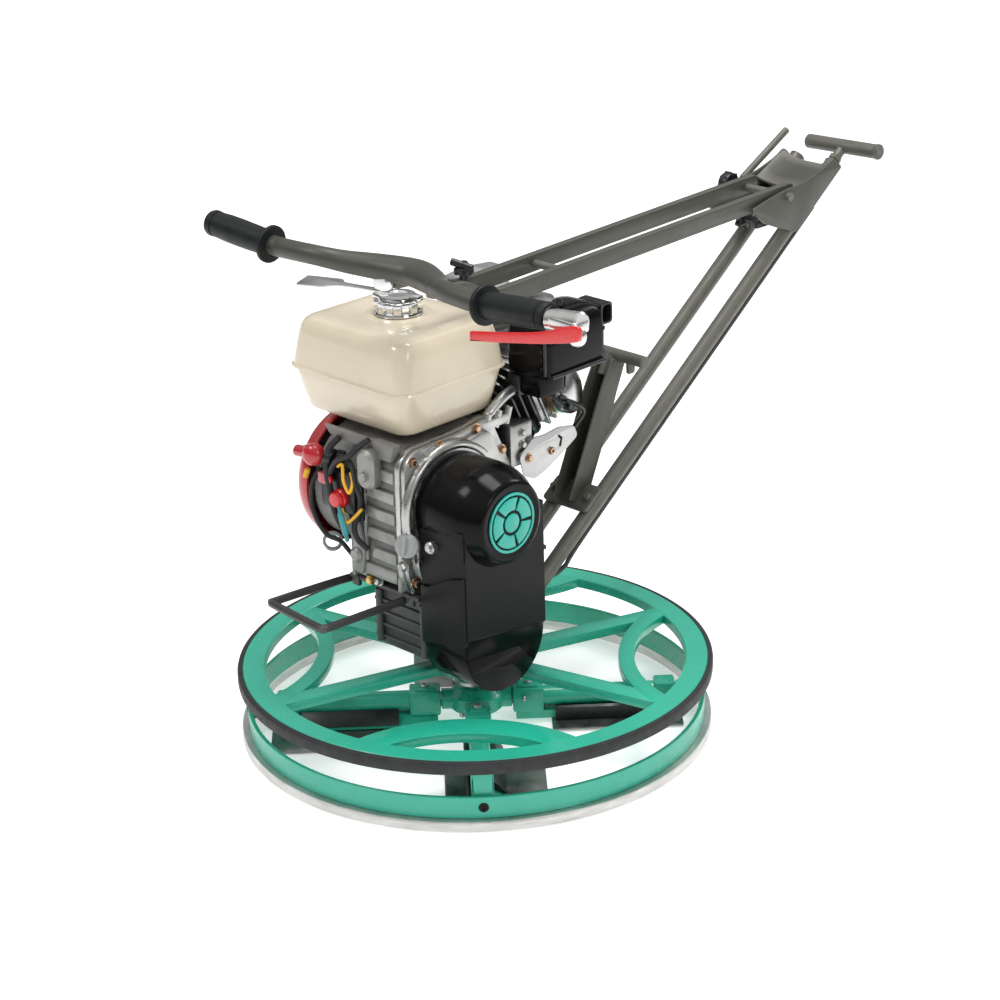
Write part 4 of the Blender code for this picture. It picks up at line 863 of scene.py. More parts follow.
def make_exhaust_side():
    plate = Shape()
    slot = rounded_outline([(0.14, 0.34), (0.144, 0.339), (0.147, 0.35), (0.14, 0.356), (0.138, 0.354),
                            (0.143, 0.349)], 0.0008)
    plate.plate(rounded_outline(GUARD_PLATE_OUTLINE, 0.006), "X", 0.018, 0.02, [slot[::-1]], bevel=0.0006)
    plate.box((-0.008, 0.098, 0.33), (0.019, 0.118, 0.334), 0.001)
    plate.piece("heat_shield_plate", "sheet")
    # A near-black sheet in the heat shield's slot: painted shade seen through the slot.
    slit = Shape()
    slit.plate(slot, "X", 0.0183, 0.0192)
    slit.piece("heat_shield_slot", "hole")
    screws = Shape()
    screws.screw((0.02, 0.126, 0.338), (1, 0, 0), 0.005, 0.0032)
    screws.bolt((0.02, 0.085, 0.34), (1, 0, 0), 0.0045, 0.004)
    screws.piece("heat_shield_screws", "copper")

    dome = Shape()
    way = Vector((0.86, 0.42, 0.18))
    dome.turned([(0, 0), (0.03, 0), (0.0315, 0.004), (0.0315, 0.015), (0.029, 0.021), (0.02, 0.0255),
                 (0, 0.027)], (-0.017, 0.179, 0.396), way, 64)
    dome.rod((-0.06, 0.156, 0.402), (-0.012, 0.175, 0.397), 0.02, chamfer=0.002)
    dome.piece("exhaust_deflector", "chrome_dull")
    collar = Shape()
    collar.turned([(0.018, 0), (0.03, 0.001), (0.03, 0.008), (0.018, 0.008)], (-0.024, 0.175, 0.3945), way,
            48)
    collar.piece("exhaust_collar", "copper")
    links = Shape()
    links.pipe(smooth_route([(0.012, 0.15, 0.4), (0.02, 0.172, 0.388), (0.018, 0.188, 0.372), (0.01, 0.178,
            0.352)], 6), 0.0032, 12)
    links.pipe([(0.012, 0.12, 0.42), (0.02, 0.14, 0.402), (0.018, 0.16, 0.384)], 0.004, 12, flat=0.5)
    links.box((-0.01, 0.08, 0.42), (0.01, 0.12, 0.448), 0.003)
    links.bolt((0.0205, 0.156, 0.39), (1, 0, 0), 0.005, 0.006)
    links.piece("governor_links", "black")

    can = Shape()
    sections = ((0.1, 0.04, 0.03, 0.02), (0.104, 0.047, 0.037, 0.022), (0.14, 0.05, 0.04, 0.024),
                (0.142, 0.0515, 0.0415, 0.024), (0.144, 0.0515, 0.0415, 0.024), (0.146, 0.05, 0.04, 0.024),
                (0.182, 0.047, 0.037, 0.022), (0.186, 0.04, 0.03, 0.02))
    loops = []
    for y, half_x, half_z, corner in sections:
        loops.append([(x, y, z) for x, z, _ in superellipse_loop((-0.11, 0.506), half_x, half_z, corner, y,
                8)])
    can.loft(loops)
    can.rod((-0.15, 0.143, 0.49), (-0.17, 0.143, 0.49), 0.011, chamfer=0.0008)
    can.rod((-0.08, 0.15, 0.47), (-0.075, 0.17, 0.43), 0.014)
    can.piece("muffler_can", "sheet", ["muffler"])
    # Near-black disc and strips: painted shade in the muffler's outlet and slots.
    mouth = Shape()
    mouth.rod((-0.1698, 0.143, 0.49), (-0.1706, 0.143, 0.49), 0.009)
    for row in range(3):
        for column in range(5):
            mouth.box((-0.14 + 0.0135 * column, 0.1862, 0.492 + 0.009 * row),
                      (-0.131 + 0.0135 * column, 0.1868, 0.495 + 0.009 * row), 0.0002)
    mouth.piece("muffler_slots", "hole")


def make_air_cleaner():
    low, high = Vector((-0.012, 0.08, 0.452)), Vector((0.062, 0.187, 0.53))
    centre = ((low.x + high.x) / 2, (low.y + high.y) / 2)
    half_x, half_y = (high.x - low.x) / 2, (high.y - low.y) / 2
    body = Shape()
    sections = ((low.z, -0.002, 0.008), (low.z + 0.003, 0, 0.01), (0.493, 0, 0.01), (0.4935, 0.0015, 0.011),
                (0.4965, 0.0015, 0.011), (0.497, 0, 0.01), (0.516, -0.001, 0.012), (0.524, -0.005, 0.014),
                (0.5285, -0.012, 0.016), (high.z, -0.024, 0.012))
    body.loft([superellipse_loop(centre, half_x + grow, half_y + grow, corner, z, 6) for z, grow,
            corner in sections])
    body.box((low.x + 0.006, low.y + 0.004, low.z - 0.03), (high.x - 0.018, low.y + 0.05, low.z + 0.004),
            0.006)
    body.piece("air_cleaner_box", "gloss_black", ["air_cleaner"])
    lip = Shape()
    lip.pipe([(high.x + 0.001, low.y + 0.006, low.z + 0.003), (high.x + 0.001, high.y - 0.006,
            low.z + 0.003)], 0.0026, 12)
    lip.pipe([(high.x - 0.004, low.y - 0.0008, low.z + 0.006), (high.x - 0.004, low.y - 0.0008,
            high.z - 0.018)], 0.0022, 12)
    for step in range(4):
        lip.screw((high.x - 0.0105, low.y - 0.0003, low.z + 0.014 + 0.011 * step), (0, -1, 0), 0.0016,
                0.0008)
    lip.piece("air_cleaner_lip", "black")
    snorkel = Shape()
    mouth = rounded_outline([(0.185, 0.496), (0.206, 0.496), (0.206, 0.524), (0.185, 0.524)], 0.006)
    inner = rounded_outline([(0.188, 0.499), (0.203, 0.499), (0.203, 0.521), (0.188, 0.521)], 0.005)
    snorkel.plate(mouth, "X", 0.012, 0.054, [inner[::-1]], bevel=0.0006)
    snorkel.box((0.015, 0.184, 0.498), (0.05, 0.19, 0.522), 0.001)
    snorkel.piece("air_intake_snorkel", "black")
    top = Shape()
    top.turned([(0, 0), (0.026, 0), (0.03, 0.002), (0.026, 0.008), (0.015, 0.011), (0, 0.012)],
               (-0.002, 0.122, 0.529), (0, 0, 1), 48)
    top.piece("air_cleaner_top", "chrome_dull")
    nut = Shape()
    nut.turned([(0, 0), (0.0075, 0), (0.0085, 0.003), (0.0075, 0.007), (0.004, 0.009), (0, 0.0094)],
               (0.03, 0.133, 0.53), (0, 0, 1), 8)
    nut.box((0.018, 0.116, 0.53), (0.024, 0.152, 0.533), 0.001)
    nut.piece("air_cleaner_nut", "black")


# ================================================================ tank, recoil and controls
TANK_MIDDLE = (-0.1, -0.02)


def make_tank():
    sections = ((0.4085, 0.078, 0.064, 0.018), (0.409, 0.085, 0.071, 0.019), (0.4105, 0.0895, 0.0755, 0.02),
            (0.414, 0.0925, 0.0785, 0.021), (0.43, 0.0965, 0.0825, 0.022), (0.45, 0.1005, 0.0865, 0.022),
            (0.461, 0.103, 0.089, 0.022), (0.464, 0.1034, 0.0894, 0.022), (0.4646, 0.106, 0.092, 0.024),
            (0.4655, 0.1085, 0.0945, 0.026), (0.4672, 0.1085, 0.0945, 0.026), (0.4682, 0.1065, 0.0925,
            0.024), (0.469, 0.1052, 0.0912, 0.022), (0.474, 0.1046, 0.0906, 0.022), (0.492, 0.102, 0.088,
            0.021), (0.508, 0.0992, 0.0852, 0.021), (0.518, 0.0968, 0.0828, 0.021), (0.5245, 0.0935, 0.0795,
            0.021), (0.5282, 0.0885, 0.0745, 0.02), (0.5297, 0.082, 0.068, 0.018), (0.5302, 0.07, 0.056,
            0.016), )
    tank = Shape()
    tank.loft([superellipse_loop(TANK_MIDDLE, hx, hy, corner, z, 12) for z, hx, hy, corner in sections])
    neck = (TANK_MIDDLE[0] - 0.002, TANK_MIDDLE[1] + 0.006, 0)
    tank.turned([(0, 0.526), (0.048, 0.5285), (0.042, 0.5302), (0.036, 0.5306), (0, 0.5306)], neck,
            sides=72)
    tank.piece("tank_shell", "cream", ["fuel_tank"])
    recess = Shape()
    front = TANK_MIDDLE[1] - 0.0868
    recess.plate(rounded_outline([(-0.165, 0.478), (-0.038, 0.478), (-0.042, 0.511), (-0.161, 0.511)],
            0.012, 6), "Y", front, front + 0.004, matrix=Matrix.Translation((0, 0.0013,
            0)) @ Matrix.Translation((0, front, 0.49)) @ Matrix.Rotation(math.radians(-10), 4,
            "X") @ Matrix.Translation((0, -front, -0.49)), bevel=0.0015)
    recess.piece("tank_front_panel", "cream")
    tabs = Shape()
    tabs.plate(rounded_outline([(-0.216, -0.09), (-0.206, -0.09), (-0.202, -0.056), (-0.212, -0.056)],
            0.003), "Z", 0.464, 0.4655, bevel=0.0004)
    tabs.rod((-0.15, 0.02, 0.529), (-0.15, 0.02, 0.533), 0.007, chamfer=0.0015)
    tabs.piece("tank_tabs", "sheet")

    cap = Shape()
    outline = lobed_outline(neck, 8, 0.0262, 0.03, 0.3, 0.2)
    cap.turned([(0.0225, 0.5312), (0.0305, 0.5312), (0.0312, 0.533), (0.0305, 0.535), (0.0225, 0.535)],
            neck, sides=64)
    cap.plate(outline, "Z", 0.5345, 0.549, bevel=0.0012)
    cap.turned([(0, 0.535), (0.024, 0.535), (0.025, 0.55), (0.0225, 0.554), (0.014, 0.5548), (0.012, 0.553),
                (0, 0.5528)], neck, sides=64)
    for turn in (0.5, 0.5 + math.pi):
        spot = Vector(neck) + Vector((0.024 * math.cos(turn), 0.024 * math.sin(turn), 0))
        cap.box((spot.x - 0.0085, spot.y - 0.0065, 0.544), (spot.x + 0.0085, spot.y + 0.0065, 0.555),
                0.0035)
    cap.piece("filler_cap", "chrome", ["fuel_cap"], "fuel_cap")


RECOIL_LEFT, RECOIL_R = -0.18, 0.09


def make_recoil():
    shell = Shape()
    shell.turned([(0.0865, -0.1505), (0.0897, -0.1507), (RECOIL_R, -0.153), (0.0895, -0.161),
            (0.087, -0.169), (0.082, -0.175), (0.074, -0.1785), (0.064, RECOIL_LEFT), (0, RECOIL_LEFT),
            (0, -0.1775), (0.063, -0.1775), (0.072, -0.1765), (0.08, -0.173), (0.0845, -0.168),
            (0.0865, -0.161)], (0, CRANK_Y, CRANK_Z), (1, 0, 0), 112)
    shell.turned([(0.03, RECOIL_LEFT - 0.0018), (0.033, RECOIL_LEFT - 0.0025),
            (0.036, RECOIL_LEFT - 0.0018), (0.036, RECOIL_LEFT + 0.001), (0.03, RECOIL_LEFT + 0.001)],
            (0, CRANK_Y, CRANK_Z), (1, 0, 0), 64)
    shell.piece("recoil_shell", "red", ["recoil_housing"])
    # Near-black strips: painted shade in the recoil cover's vent slots.
    slots = Shape()
    for index in range(14):
        turn = Matrix.Translation((0, CRANK_Y, CRANK_Z)) @ Matrix.Rotation(index * math.tau / 14, 4, "X")
        slots.box((RECOIL_LEFT - 0.0006, -0.0042, 0.043), (RECOIL_LEFT + 0.001, 0.0042, 0.064), 0.0005,
                turn)
    slots.piece("recoil_slots", "hole")
    bolts = Shape()
    for index in range(4):
        turn = math.radians(40 + 90 * index)
        at = (RECOIL_LEFT - 0.0004, CRANK_Y + 0.023 * math.cos(turn), CRANK_Z + 0.023 * math.sin(turn))
        bolts.bolt(at, (-1, 0, 0), 0.0045, 0.0035)
    bolts.piece("recoil_bolts", "sheet")

    grip = Shape()
    grip.turned([(0, 0), (0.01, 0), (0.0138, 0.003), (0.0145, 0.0075), (0.0138, 0.0125), (0.011, 0.0165),
            (0.006, 0.0185), (0, 0.019)], (-0.129, -0.135, 0.373), (0.25, -0.95, 0.1), 40)
    grip.rod((-0.162, -0.14, 0.37), (-0.129, -0.14, 0.373), 0.0075, sides=24, chamfer=0.002)
    grip.rod((-0.157, -0.141, 0.372), (-0.157, -0.112, 0.372), 0.003, sides=16)
    grip.piece("starter_pull_grip", "red", ["starter_grip"], "starter_grip")
    hub = Shape()
    hub.rod((-0.116, -0.131, 0.372), (-0.104, -0.129, 0.37), 0.0115, chamfer=0.002)
    hub.rod((-0.106, -0.124, 0.372), (-0.096, -0.118, 0.37), 0.0085, chamfer=0.002)
    hub.piece("starter_rope_guide", "black")


def make_controls():
    box = Shape()
    box.box((-0.132, CONTROL_Y, 0.302), (-0.07, -0.1, 0.357), 0.004)
    box.box((-0.07, -0.127, 0.296), (-0.06, -0.11, 0.364), 0.003)
    box.piece("control_box", "black")
    switch = Shape()
    switch.turned([(0, 0), (0.012, 0), (0.012, 0.005), (0.0105, 0.0065), (0.0105, 0.0105), (0.0085, 0.0135),
                   (0.004, 0.014), (0, 0.014)], (-0.092, CONTROL_Y - 0.0003, 0.322), (0, -1, 0), 40)
    switch.piece("stop_switch_knob", "red_lever", ["engine_switch"], "engine_switch")
    lever = Shape()
    lever.rod((-0.118, CONTROL_Y - 0.0003, 0.3445), (-0.118, CONTROL_Y - 0.0055, 0.3445), 0.008,
            chamfer=0.001)
    lever.plate(rounded_outline([(-0.124, 0.337), (-0.106, 0.3375), (-0.1005, 0.342), (-0.1005, 0.347),
            (-0.106, 0.352), (-0.124, 0.352)], 0.003), "Y", CONTROL_Y - 0.0102, CONTROL_Y - 0.005,
            bevel=0.001)
    lever.piece("fuel_tap_lever", "red", ["fuel_lever"], "fuel_lever")

    sensor = Shape()
    loops = [superellipse_loop((-0.042, 0.372), 0.015 + grow, 0.026 + grow, 0.0145 + grow, 0, 8)
             for grow in (-0.003, 0, 0, -0.004)]
    steps = (-0.1175, -0.1215, -0.133, -0.137)
    sensor.loft([[(x, y, z) for x, z, _ in loop] for loop, y in zip(loops, steps)])
    sensor.rod((-0.042, -0.136, 0.364), (-0.042, -0.142, 0.364), 0.006, sides=24, chamfer=0.001)
    sensor.piece("oil_alert_unit", "mid_cast")
    sheet = Shape()
    sheet.plate(rounded_outline([(-0.118, 0.396), (-0.042, 0.393), (-0.03, 0.409), (-0.13, 0.4095)], 0.005),
                "Y", -0.1215, -0.1185, bevel=0.001)
    sheet.plate([(-0.04, 0.386), (-0.01, 0.386), (-0.002, 0.408), (-0.04, 0.408)], "Y", -0.123, -0.11,
                bevel=0.002)
    sheet.piece("fan_shroud_front", "grey_paint")

    harness = Shape()
    harness.pipe(smooth_route([(-0.128, -0.132, 0.352), (-0.136, -0.14, 0.33), (-0.134, -0.142, 0.298),
                               (-0.118, -0.138, 0.27), (-0.1, -0.13, 0.262), (-0.092, -0.124, 0.25),
                               (-0.08, -0.121, 0.238)], 8), 0.003, 12)
    harness.pipe(smooth_route([(-0.098, -0.124, 0.398), (-0.106, -0.134, 0.385), (-0.109, -0.138, 0.36),
            (-0.104, -0.138, 0.33), (-0.098, -0.136, 0.3), (-0.088, -0.128, 0.272)], 8), 0.0042, 12)
    harness.pipe(smooth_route([(-0.106, -0.136, 0.352), (-0.088, -0.14, 0.374), (-0.066, -0.138, 0.386),
                               (-0.054, -0.13, 0.4), (-0.044, -0.124, 0.408)], 8), 0.0036, 12)
    harness.pipe(smooth_route([(-0.08, -0.132, 0.38), (-0.064, -0.136, 0.372), (-0.06, -0.136, 0.35),
                               (-0.056, -0.132, 0.33), (-0.062, -0.13, 0.31)], 8), 0.003, 12)
    harness.pipe(smooth_route([(-0.056, -0.128, 0.318), (-0.068, -0.132, 0.296), (-0.066, -0.132, 0.276),
                               (-0.052, -0.126, 0.262)], 8), 0.0036, 12)
    harness.piece("wiring_harness", "rubber")
    leads = Shape()
    leads.pipe(smooth_route([(-0.089, -0.137, 0.366), (-0.076, -0.141, 0.372), (-0.074, -0.142, 0.352),
            (-0.066, -0.141, 0.338), (-0.062, -0.138, 0.352), (-0.066, -0.137, 0.364)], 8), 0.0021, 10)
    leads.pipe(smooth_route([(-0.084, -0.138, 0.312), (-0.076, -0.14, 0.298), (-0.068, -0.139, 0.3),
                             (-0.052, -0.134, 0.318)], 8), 0.0021, 10)
    leads.pipe([(-0.142, -0.14, 0.35), (-0.1455, -0.142, 0.339)], 0.0036, 12)
    leads.piece("yellow_leads", "yellow")
    sleeve = Shape()
    sleeve.pipe(smooth_route([(-0.088, -0.141, 0.318), (-0.078, -0.144, 0.3), (-0.074, -0.143, 0.284),
                              (-0.075, -0.14, 0.272)], 6), [0.0022] * 4 + [0.004] * 10 + [0.0026] * 5, 12)
    sleeve.piece("turquoise_sleeve", "blue")
    ring = Shape()
    ring.turned([(0.009, -0.003), (0.0125, -0.003), (0.013, 0), (0.0125, 0.003), (0.009, 0.003)],
                (-0.128, -0.118, 0.25), (0.5, -0.4, 0.6), 40)
    ring.piece("hose_clamp_ring", "sheet")


def make_carry_loop():
    route = [(-0.008, -0.093, 0.2003), (-0.012, -0.13, 0.2003), (-0.0188, -0.22, 0.2003), (-0.0215, -0.23,
            0.2003), (-0.03, -0.2332, 0.2003), (-0.118, -0.2248, 0.2003), (-0.1262, -0.222, 0.2003),
            (-0.128, -0.214, 0.2003), (-0.114, -0.11, 0.2003), (-0.098, -0.075, 0.2003), (-0.096, -0.045,
            0.2003)]
    Shape().pipe(smooth_route(route, 6), 0.0052, 20).piece("lift_loop", "black_paint", ["carry_loop"])


# ================================================================ handle
TUBE_X, TUBE_R = 0.03, 0.0103
TUBE_LOW, TUBE_TOP = Vector((0, 0.0725, 0.158)), Vector((0, 0.672, 0.5998))
ALONG = (TUBE_TOP - TUBE_LOW).normalized()
LIFT = Vector((0, -ALONG.z, ALONG.y))
FOLD_Y, FOLD_Z = 0.56, 0.58


def bar_frame(start, end):
    """Matrix of a bar: X across, Y along from its start, Z up."""
    along = (end - start).normalized()
    up = Vector((0, -along.z, along.y)).normalized()
    across = along.cross(up)
    return Matrix.Translation(start) @ Matrix((across, along, up)).transposed().to_4x4()


def make_lower_handle():
    for side, name in ((-1, "left"), (1, "right")):
        low = TUBE_LOW + Vector((side * TUBE_X, 0, 0))
        top = TUBE_TOP + Vector((side * TUBE_X, 0, 0))
        tube = Shape()
        tube.turned([(TUBE_R - 0.002, 0.0005), (TUBE_R - 0.0006, 0), (TUBE_R, 0.0006),
                (TUBE_R, (top - low).length - 0.0006), (TUBE_R - 0.0006, (top - low).length),
                (TUBE_R - 0.002, (top - low).length - 0.0005)], low, top - low, 40)
        tube.piece(f"handle_tube_{name}", "olive", [f"lower_tube_{name}"])
        rim = Shape()
        rim.turned([(0.008, -0.0012), (TUBE_R + 0.0004, -0.0012), (TUBE_R + 0.0004, 0.0002),
                (0.008, 0.0002)], top, top - low, 40)
        rim.piece(f"handle_tube_end_{name}", "olive")

    low, high = Vector((0, 0.178, 0.25)), Vector((0, 0.258, 0.424))
    stand = bar_frame(low, high)
    length = (high - low).length
    post = Shape()
    post.plate(rounded_outline([(-0.015, 0), (0.015, 0), (0.013, length), (-0.013, length)], 0.002), "Z",
            -0.0168, -0.0132, matrix=stand, bevel=0.0006)
    for side in (-1, 1):
        wall = rounded_outline([(0, -0.0168), (length * 0.62, -0.0168), (length, -0.012), (length, 0.012),
                (length * 0.78, 0.0165), (0, 0.0165)], [0.002, 0.02, 0.004, 0.006, 0.02, 0.004])
        x = side * 0.0137
        post.plate(wall, "X", x - 0.0013, x + 0.0013, matrix=stand, bevel=0.0004)
    post.rod((0, 0.246, 0.402), (0, 0.262, 0.43), 0.009, chamfer=0.001)
    post.piece("lifting_post_channel", "olive", ["lifting_post"])
    bar = Shape()
    bar.turned([(0, -0.036), (0.0066, -0.036), (0.008, -0.0346), (0.008, 0.056), (0.0066, 0.0576),
            (0, 0.058)], (0, 0.262, 0.428), (1, 0, 0), 32)
    bar.plate(rounded_outline([(0.256, 0.408), (0.268, 0.408), (0.269, 0.428), (0.255, 0.428)], 0.003),
              "X", 0.03, 0.0345, bevel=0.0006)
    bar.piece("lifting_post_bar", "olive")
    foot = Shape()
    start = TUBE_LOW + ALONG * 0.128 + LIFT * (TUBE_R + 0.0033)
    foot.plate(rounded_outline([(-0.038, 0), (0.038, 0), (0.038, 0.04), (-0.038, 0.04)], 0.006), "Z",
            -0.003, 0.003, matrix=bar_frame(start, start + ALONG), bevel=0.0008)
    for x in (-0.03, 0.03):
        foot.bolt(start + Vector((x, 0, 0)) + ALONG * 0.02 + LIFT * 0.003, LIFT, 0.005, 0.005)
    foot.piece("post_foot_plate", "olive")
    drop = Vector((TUBE_X, 0.008, -0.0165))
    cable = [TUBE_TOP + drop - ALONG * 0.06, TUBE_TOP + drop - ALONG * 0.3, TUBE_LOW + drop + ALONG * 0.12,
             Vector((0.022, 0.14, 0.172)), Vector((0.006, 0.108, 0.158)), Vector((0.0, 0.088, 0.156))]
    Shape().pipe(smooth_route(cable, 10), 0.003, 14).piece("blade_pitch_cable", "grey_sheath",
            ["pitch_cable"])


CHEEK = [(0.676, 0.5965), (0.6577, 0.6122), (0.6395, 0.603), (0.594, 0.5905), (0.56, 0.5895),
         (0.53, 0.585), (0.49, 0.577), (0.509, 0.5544), (0.541, 0.5407), (0.58, 0.5258)]
CHEEK_X, CHEEK_T = 0.0425, 0.004


def make_fold_bracket():
    bracket = Shape()
    for side in (-1, 1):
        x = side * CHEEK_X
        bracket.plate(rounded_outline(CHEEK, [0.005, 0.004, 0.02, 0.02, 0.01, 0.02, 0.004, 0.012, 0.012,
                0.005], 6), "X", x - CHEEK_T / 2, x + CHEEK_T / 2, bevel=0.0008)
    shares = [k / 14 for k in range(15)]
    inner = CHEEK_X - 0.0012

    def saddle_row(y, z, rise, drop):
        """A row across the saddle: high on the left, flat to the right."""
        row = []
        for share in shares:
            lift = rise * max(0.0, 1 - share / 0.45) ** 2
            row.append((-inner + 2 * inner * share, y, z + lift - drop))
        return row

    rows = [(0.5975, 0.58, 0.006), (0.62, 0.587, 0.009), (0.644, 0.5955, 0.011), (0.657, 0.601, 0.01)]
    top = [saddle_row(y, z, rise, 0) for y, z, rise in rows]
    bottom = [saddle_row(y, z, rise, 0.0026) for y, z, rise in rows]
    loops = []
    for index in range(len(shares)):
        loops.append([row[index] for row in top] + [row[index] for row in reversed(bottom)])
    bracket.loft(loops)
    for x in (-TUBE_X, TUBE_X):
        bracket.rod(Vector((x, 0, 0)) + TUBE_TOP - ALONG * 0.085,
                Vector((x, 0, 0)) + TUBE_TOP - ALONG * 0.01, TUBE_R + 0.0012, sides=40, chamfer=0.0006)
    bracket.piece("fold_bracket_plates", "olive", ["fold_bracket"])
    catch = Shape()
    star = lobed_outline((0.544, 0.542), 5, 0.0095, 0.0145, 0.34, 0.16)
    catch.plate(rounded_outline(star, 0.003, 3), "X", -0.024, -0.014, bevel=0.0018)
    catch.rod((-0.015, 0.544, 0.542), (0.012, 0.544, 0.542), 0.0055, sides=24)
    catch.box((0.006, 0.53, 0.536), (0.018, 0.556, 0.548), 0.0025)
    catch.piece("fold_bracket_clip", "black")

    knob = Shape()
    profile = [(0.014, -0.0515), (0.015, -0.053), (0.015, -0.061), (0.014, -0.065), (0.012, -0.066),
               (0, -0.066), (0, -0.0515)]
    knob.turned(profile, (0, FOLD_Y, FOLD_Z), (1, 0, 0), 48)
    for index in range(8):
        turn = index * math.tau / 8
        knob.rod((-0.053, FOLD_Y + 0.0146 * math.cos(turn), FOLD_Z + 0.0146 * math.sin(turn)),
                (-0.0635, FOLD_Y + 0.0146 * math.cos(turn), FOLD_Z + 0.0146 * math.sin(turn)), 0.002,
                sides=16)
    knob.piece("fold_lock_knob", "black", ["fold_knob"], "fold_knob")

    lever = Shape()
    foot, end = Vector((-0.056, 0.588, 0.583)), Vector((-0.056, 0.68, 0.631))
    way = (end - foot).normalized()
    lever.rod(foot - way * 0.003, end, 0.0048, sides=24, chamfer=0.001)
    lever.rod((-0.057, foot.y, foot.z), (-0.0448, foot.y, foot.z), 0.0046, sides=24, chamfer=0.0006)
    lever.piece("fold_release_lever", "olive", ["fold_lock_lever"], "fold_lock")


def make_pitch_handle():
    start = TUBE_TOP + Vector((TUBE_X, 0, 0)) + ALONG * 0.0008
    middle = start + ALONG * 0.03
    across = Vector((1, 0, 0))
    up = ALONG.cross(across)
    roll = math.radians(-3)
    way = (across * math.cos(roll) + up * math.sin(roll)).normalized()
    half = 0.063
    handle = Shape()
    handle.rod(start, middle, 0.0068, sides=32)
    handle.turned([(0, 0.004), (0.0092, 0.004), (0.0092, 0.01), (0.0068, 0.011), (0, 0.011)], start, ALONG,
            6)
    handle.turned([(0, 0), (0.008, 0), (0.0098, 0.0018), (0.0098, 2 * half - 0.003),
            (0.009, 2 * half - 0.0014), (0.0082, 2 * half), (0, 2 * half)], middle - way * half, way, 40)
    handle.turned([(0, 0), (0.0102, 0), (0.0106, 0.0008), (0.0106, 0.004), (0.0098, 0.005), (0, 0.005)],
                  middle + way * (half - 0.006), way, 40)
    handle.piece("pitch_crossbar", "olive", ["pitch_handle"], "pitch_handle")


def grip_point(x):
    share = (abs(x) - 0.187) / (0.3 - 0.187)
    return Vector((x, -0.139 - 0.007 * share, 0.63 + 0.011 * share))


BAR_X, BAR_W = 0.031, 0.011
BAR_OUTLINE = [(0.583, 0.571), (0.583, 0.594), (0.012, 0.5778), (-0.026, 0.6015), (-0.084, 0.6015),
               (-0.084, 0.5925), (-0.034, 0.5895), (-0.008, 0.5545)]


def make_upper_bars():
    for side, name in ((-1, "left"), (1, "right")):
        x = side * BAR_X
        bar = Shape()
        bar.plate(rounded_outline(BAR_OUTLINE, [0.01, 0.01, 0.02, 0.012, 0.002, 0.002, 0.012, 0.014], 6),
                "X", x - BAR_W / 2, x + BAR_W / 2, bevel=0.0016)
        bar.piece(f"upper_bar_{name}_flat", "olive", [f"upper_bar_{name}"], "upper_handle")
    trim = Shape()
    for x in (-BAR_X, BAR_X):
        out = 1 if x > 0 else -1
        trim.bolt((x - out * 0.0055, 0.03, 0.566), (-out, 0, 0), 0.0048, 0.0035)
    trim.rod((-BAR_X, 0.15, 0.57), (BAR_X, 0.15, 0.57), 0.005, sides=24)
    trim.piece("upper_bar_bolts", "olive", body="upper_handle")
    knob = Shape()
    at = (-BAR_X + 0.002, 0.03)
    star = lobed_outline(at, 6, 0.0098, 0.0128, 0.32, 0.18)
    knob.plate(rounded_outline(star, 0.002, 3), "Z", 0.584, 0.593, bevel=0.0014)
    knob.rod((at[0], at[1], 0.576), (at[0], at[1], 0.6), 0.0058, sides=24, chamfer=0.001)
    knob.rod((at[0] + 0.012, at[1] + 0.004, 0.592), (at[0] - 0.012, at[1] - 0.01, 0.6), 0.0048, sides=20,
            chamfer=0.001)
    knob.piece("upper_bar_knob", "black", body="upper_handle")


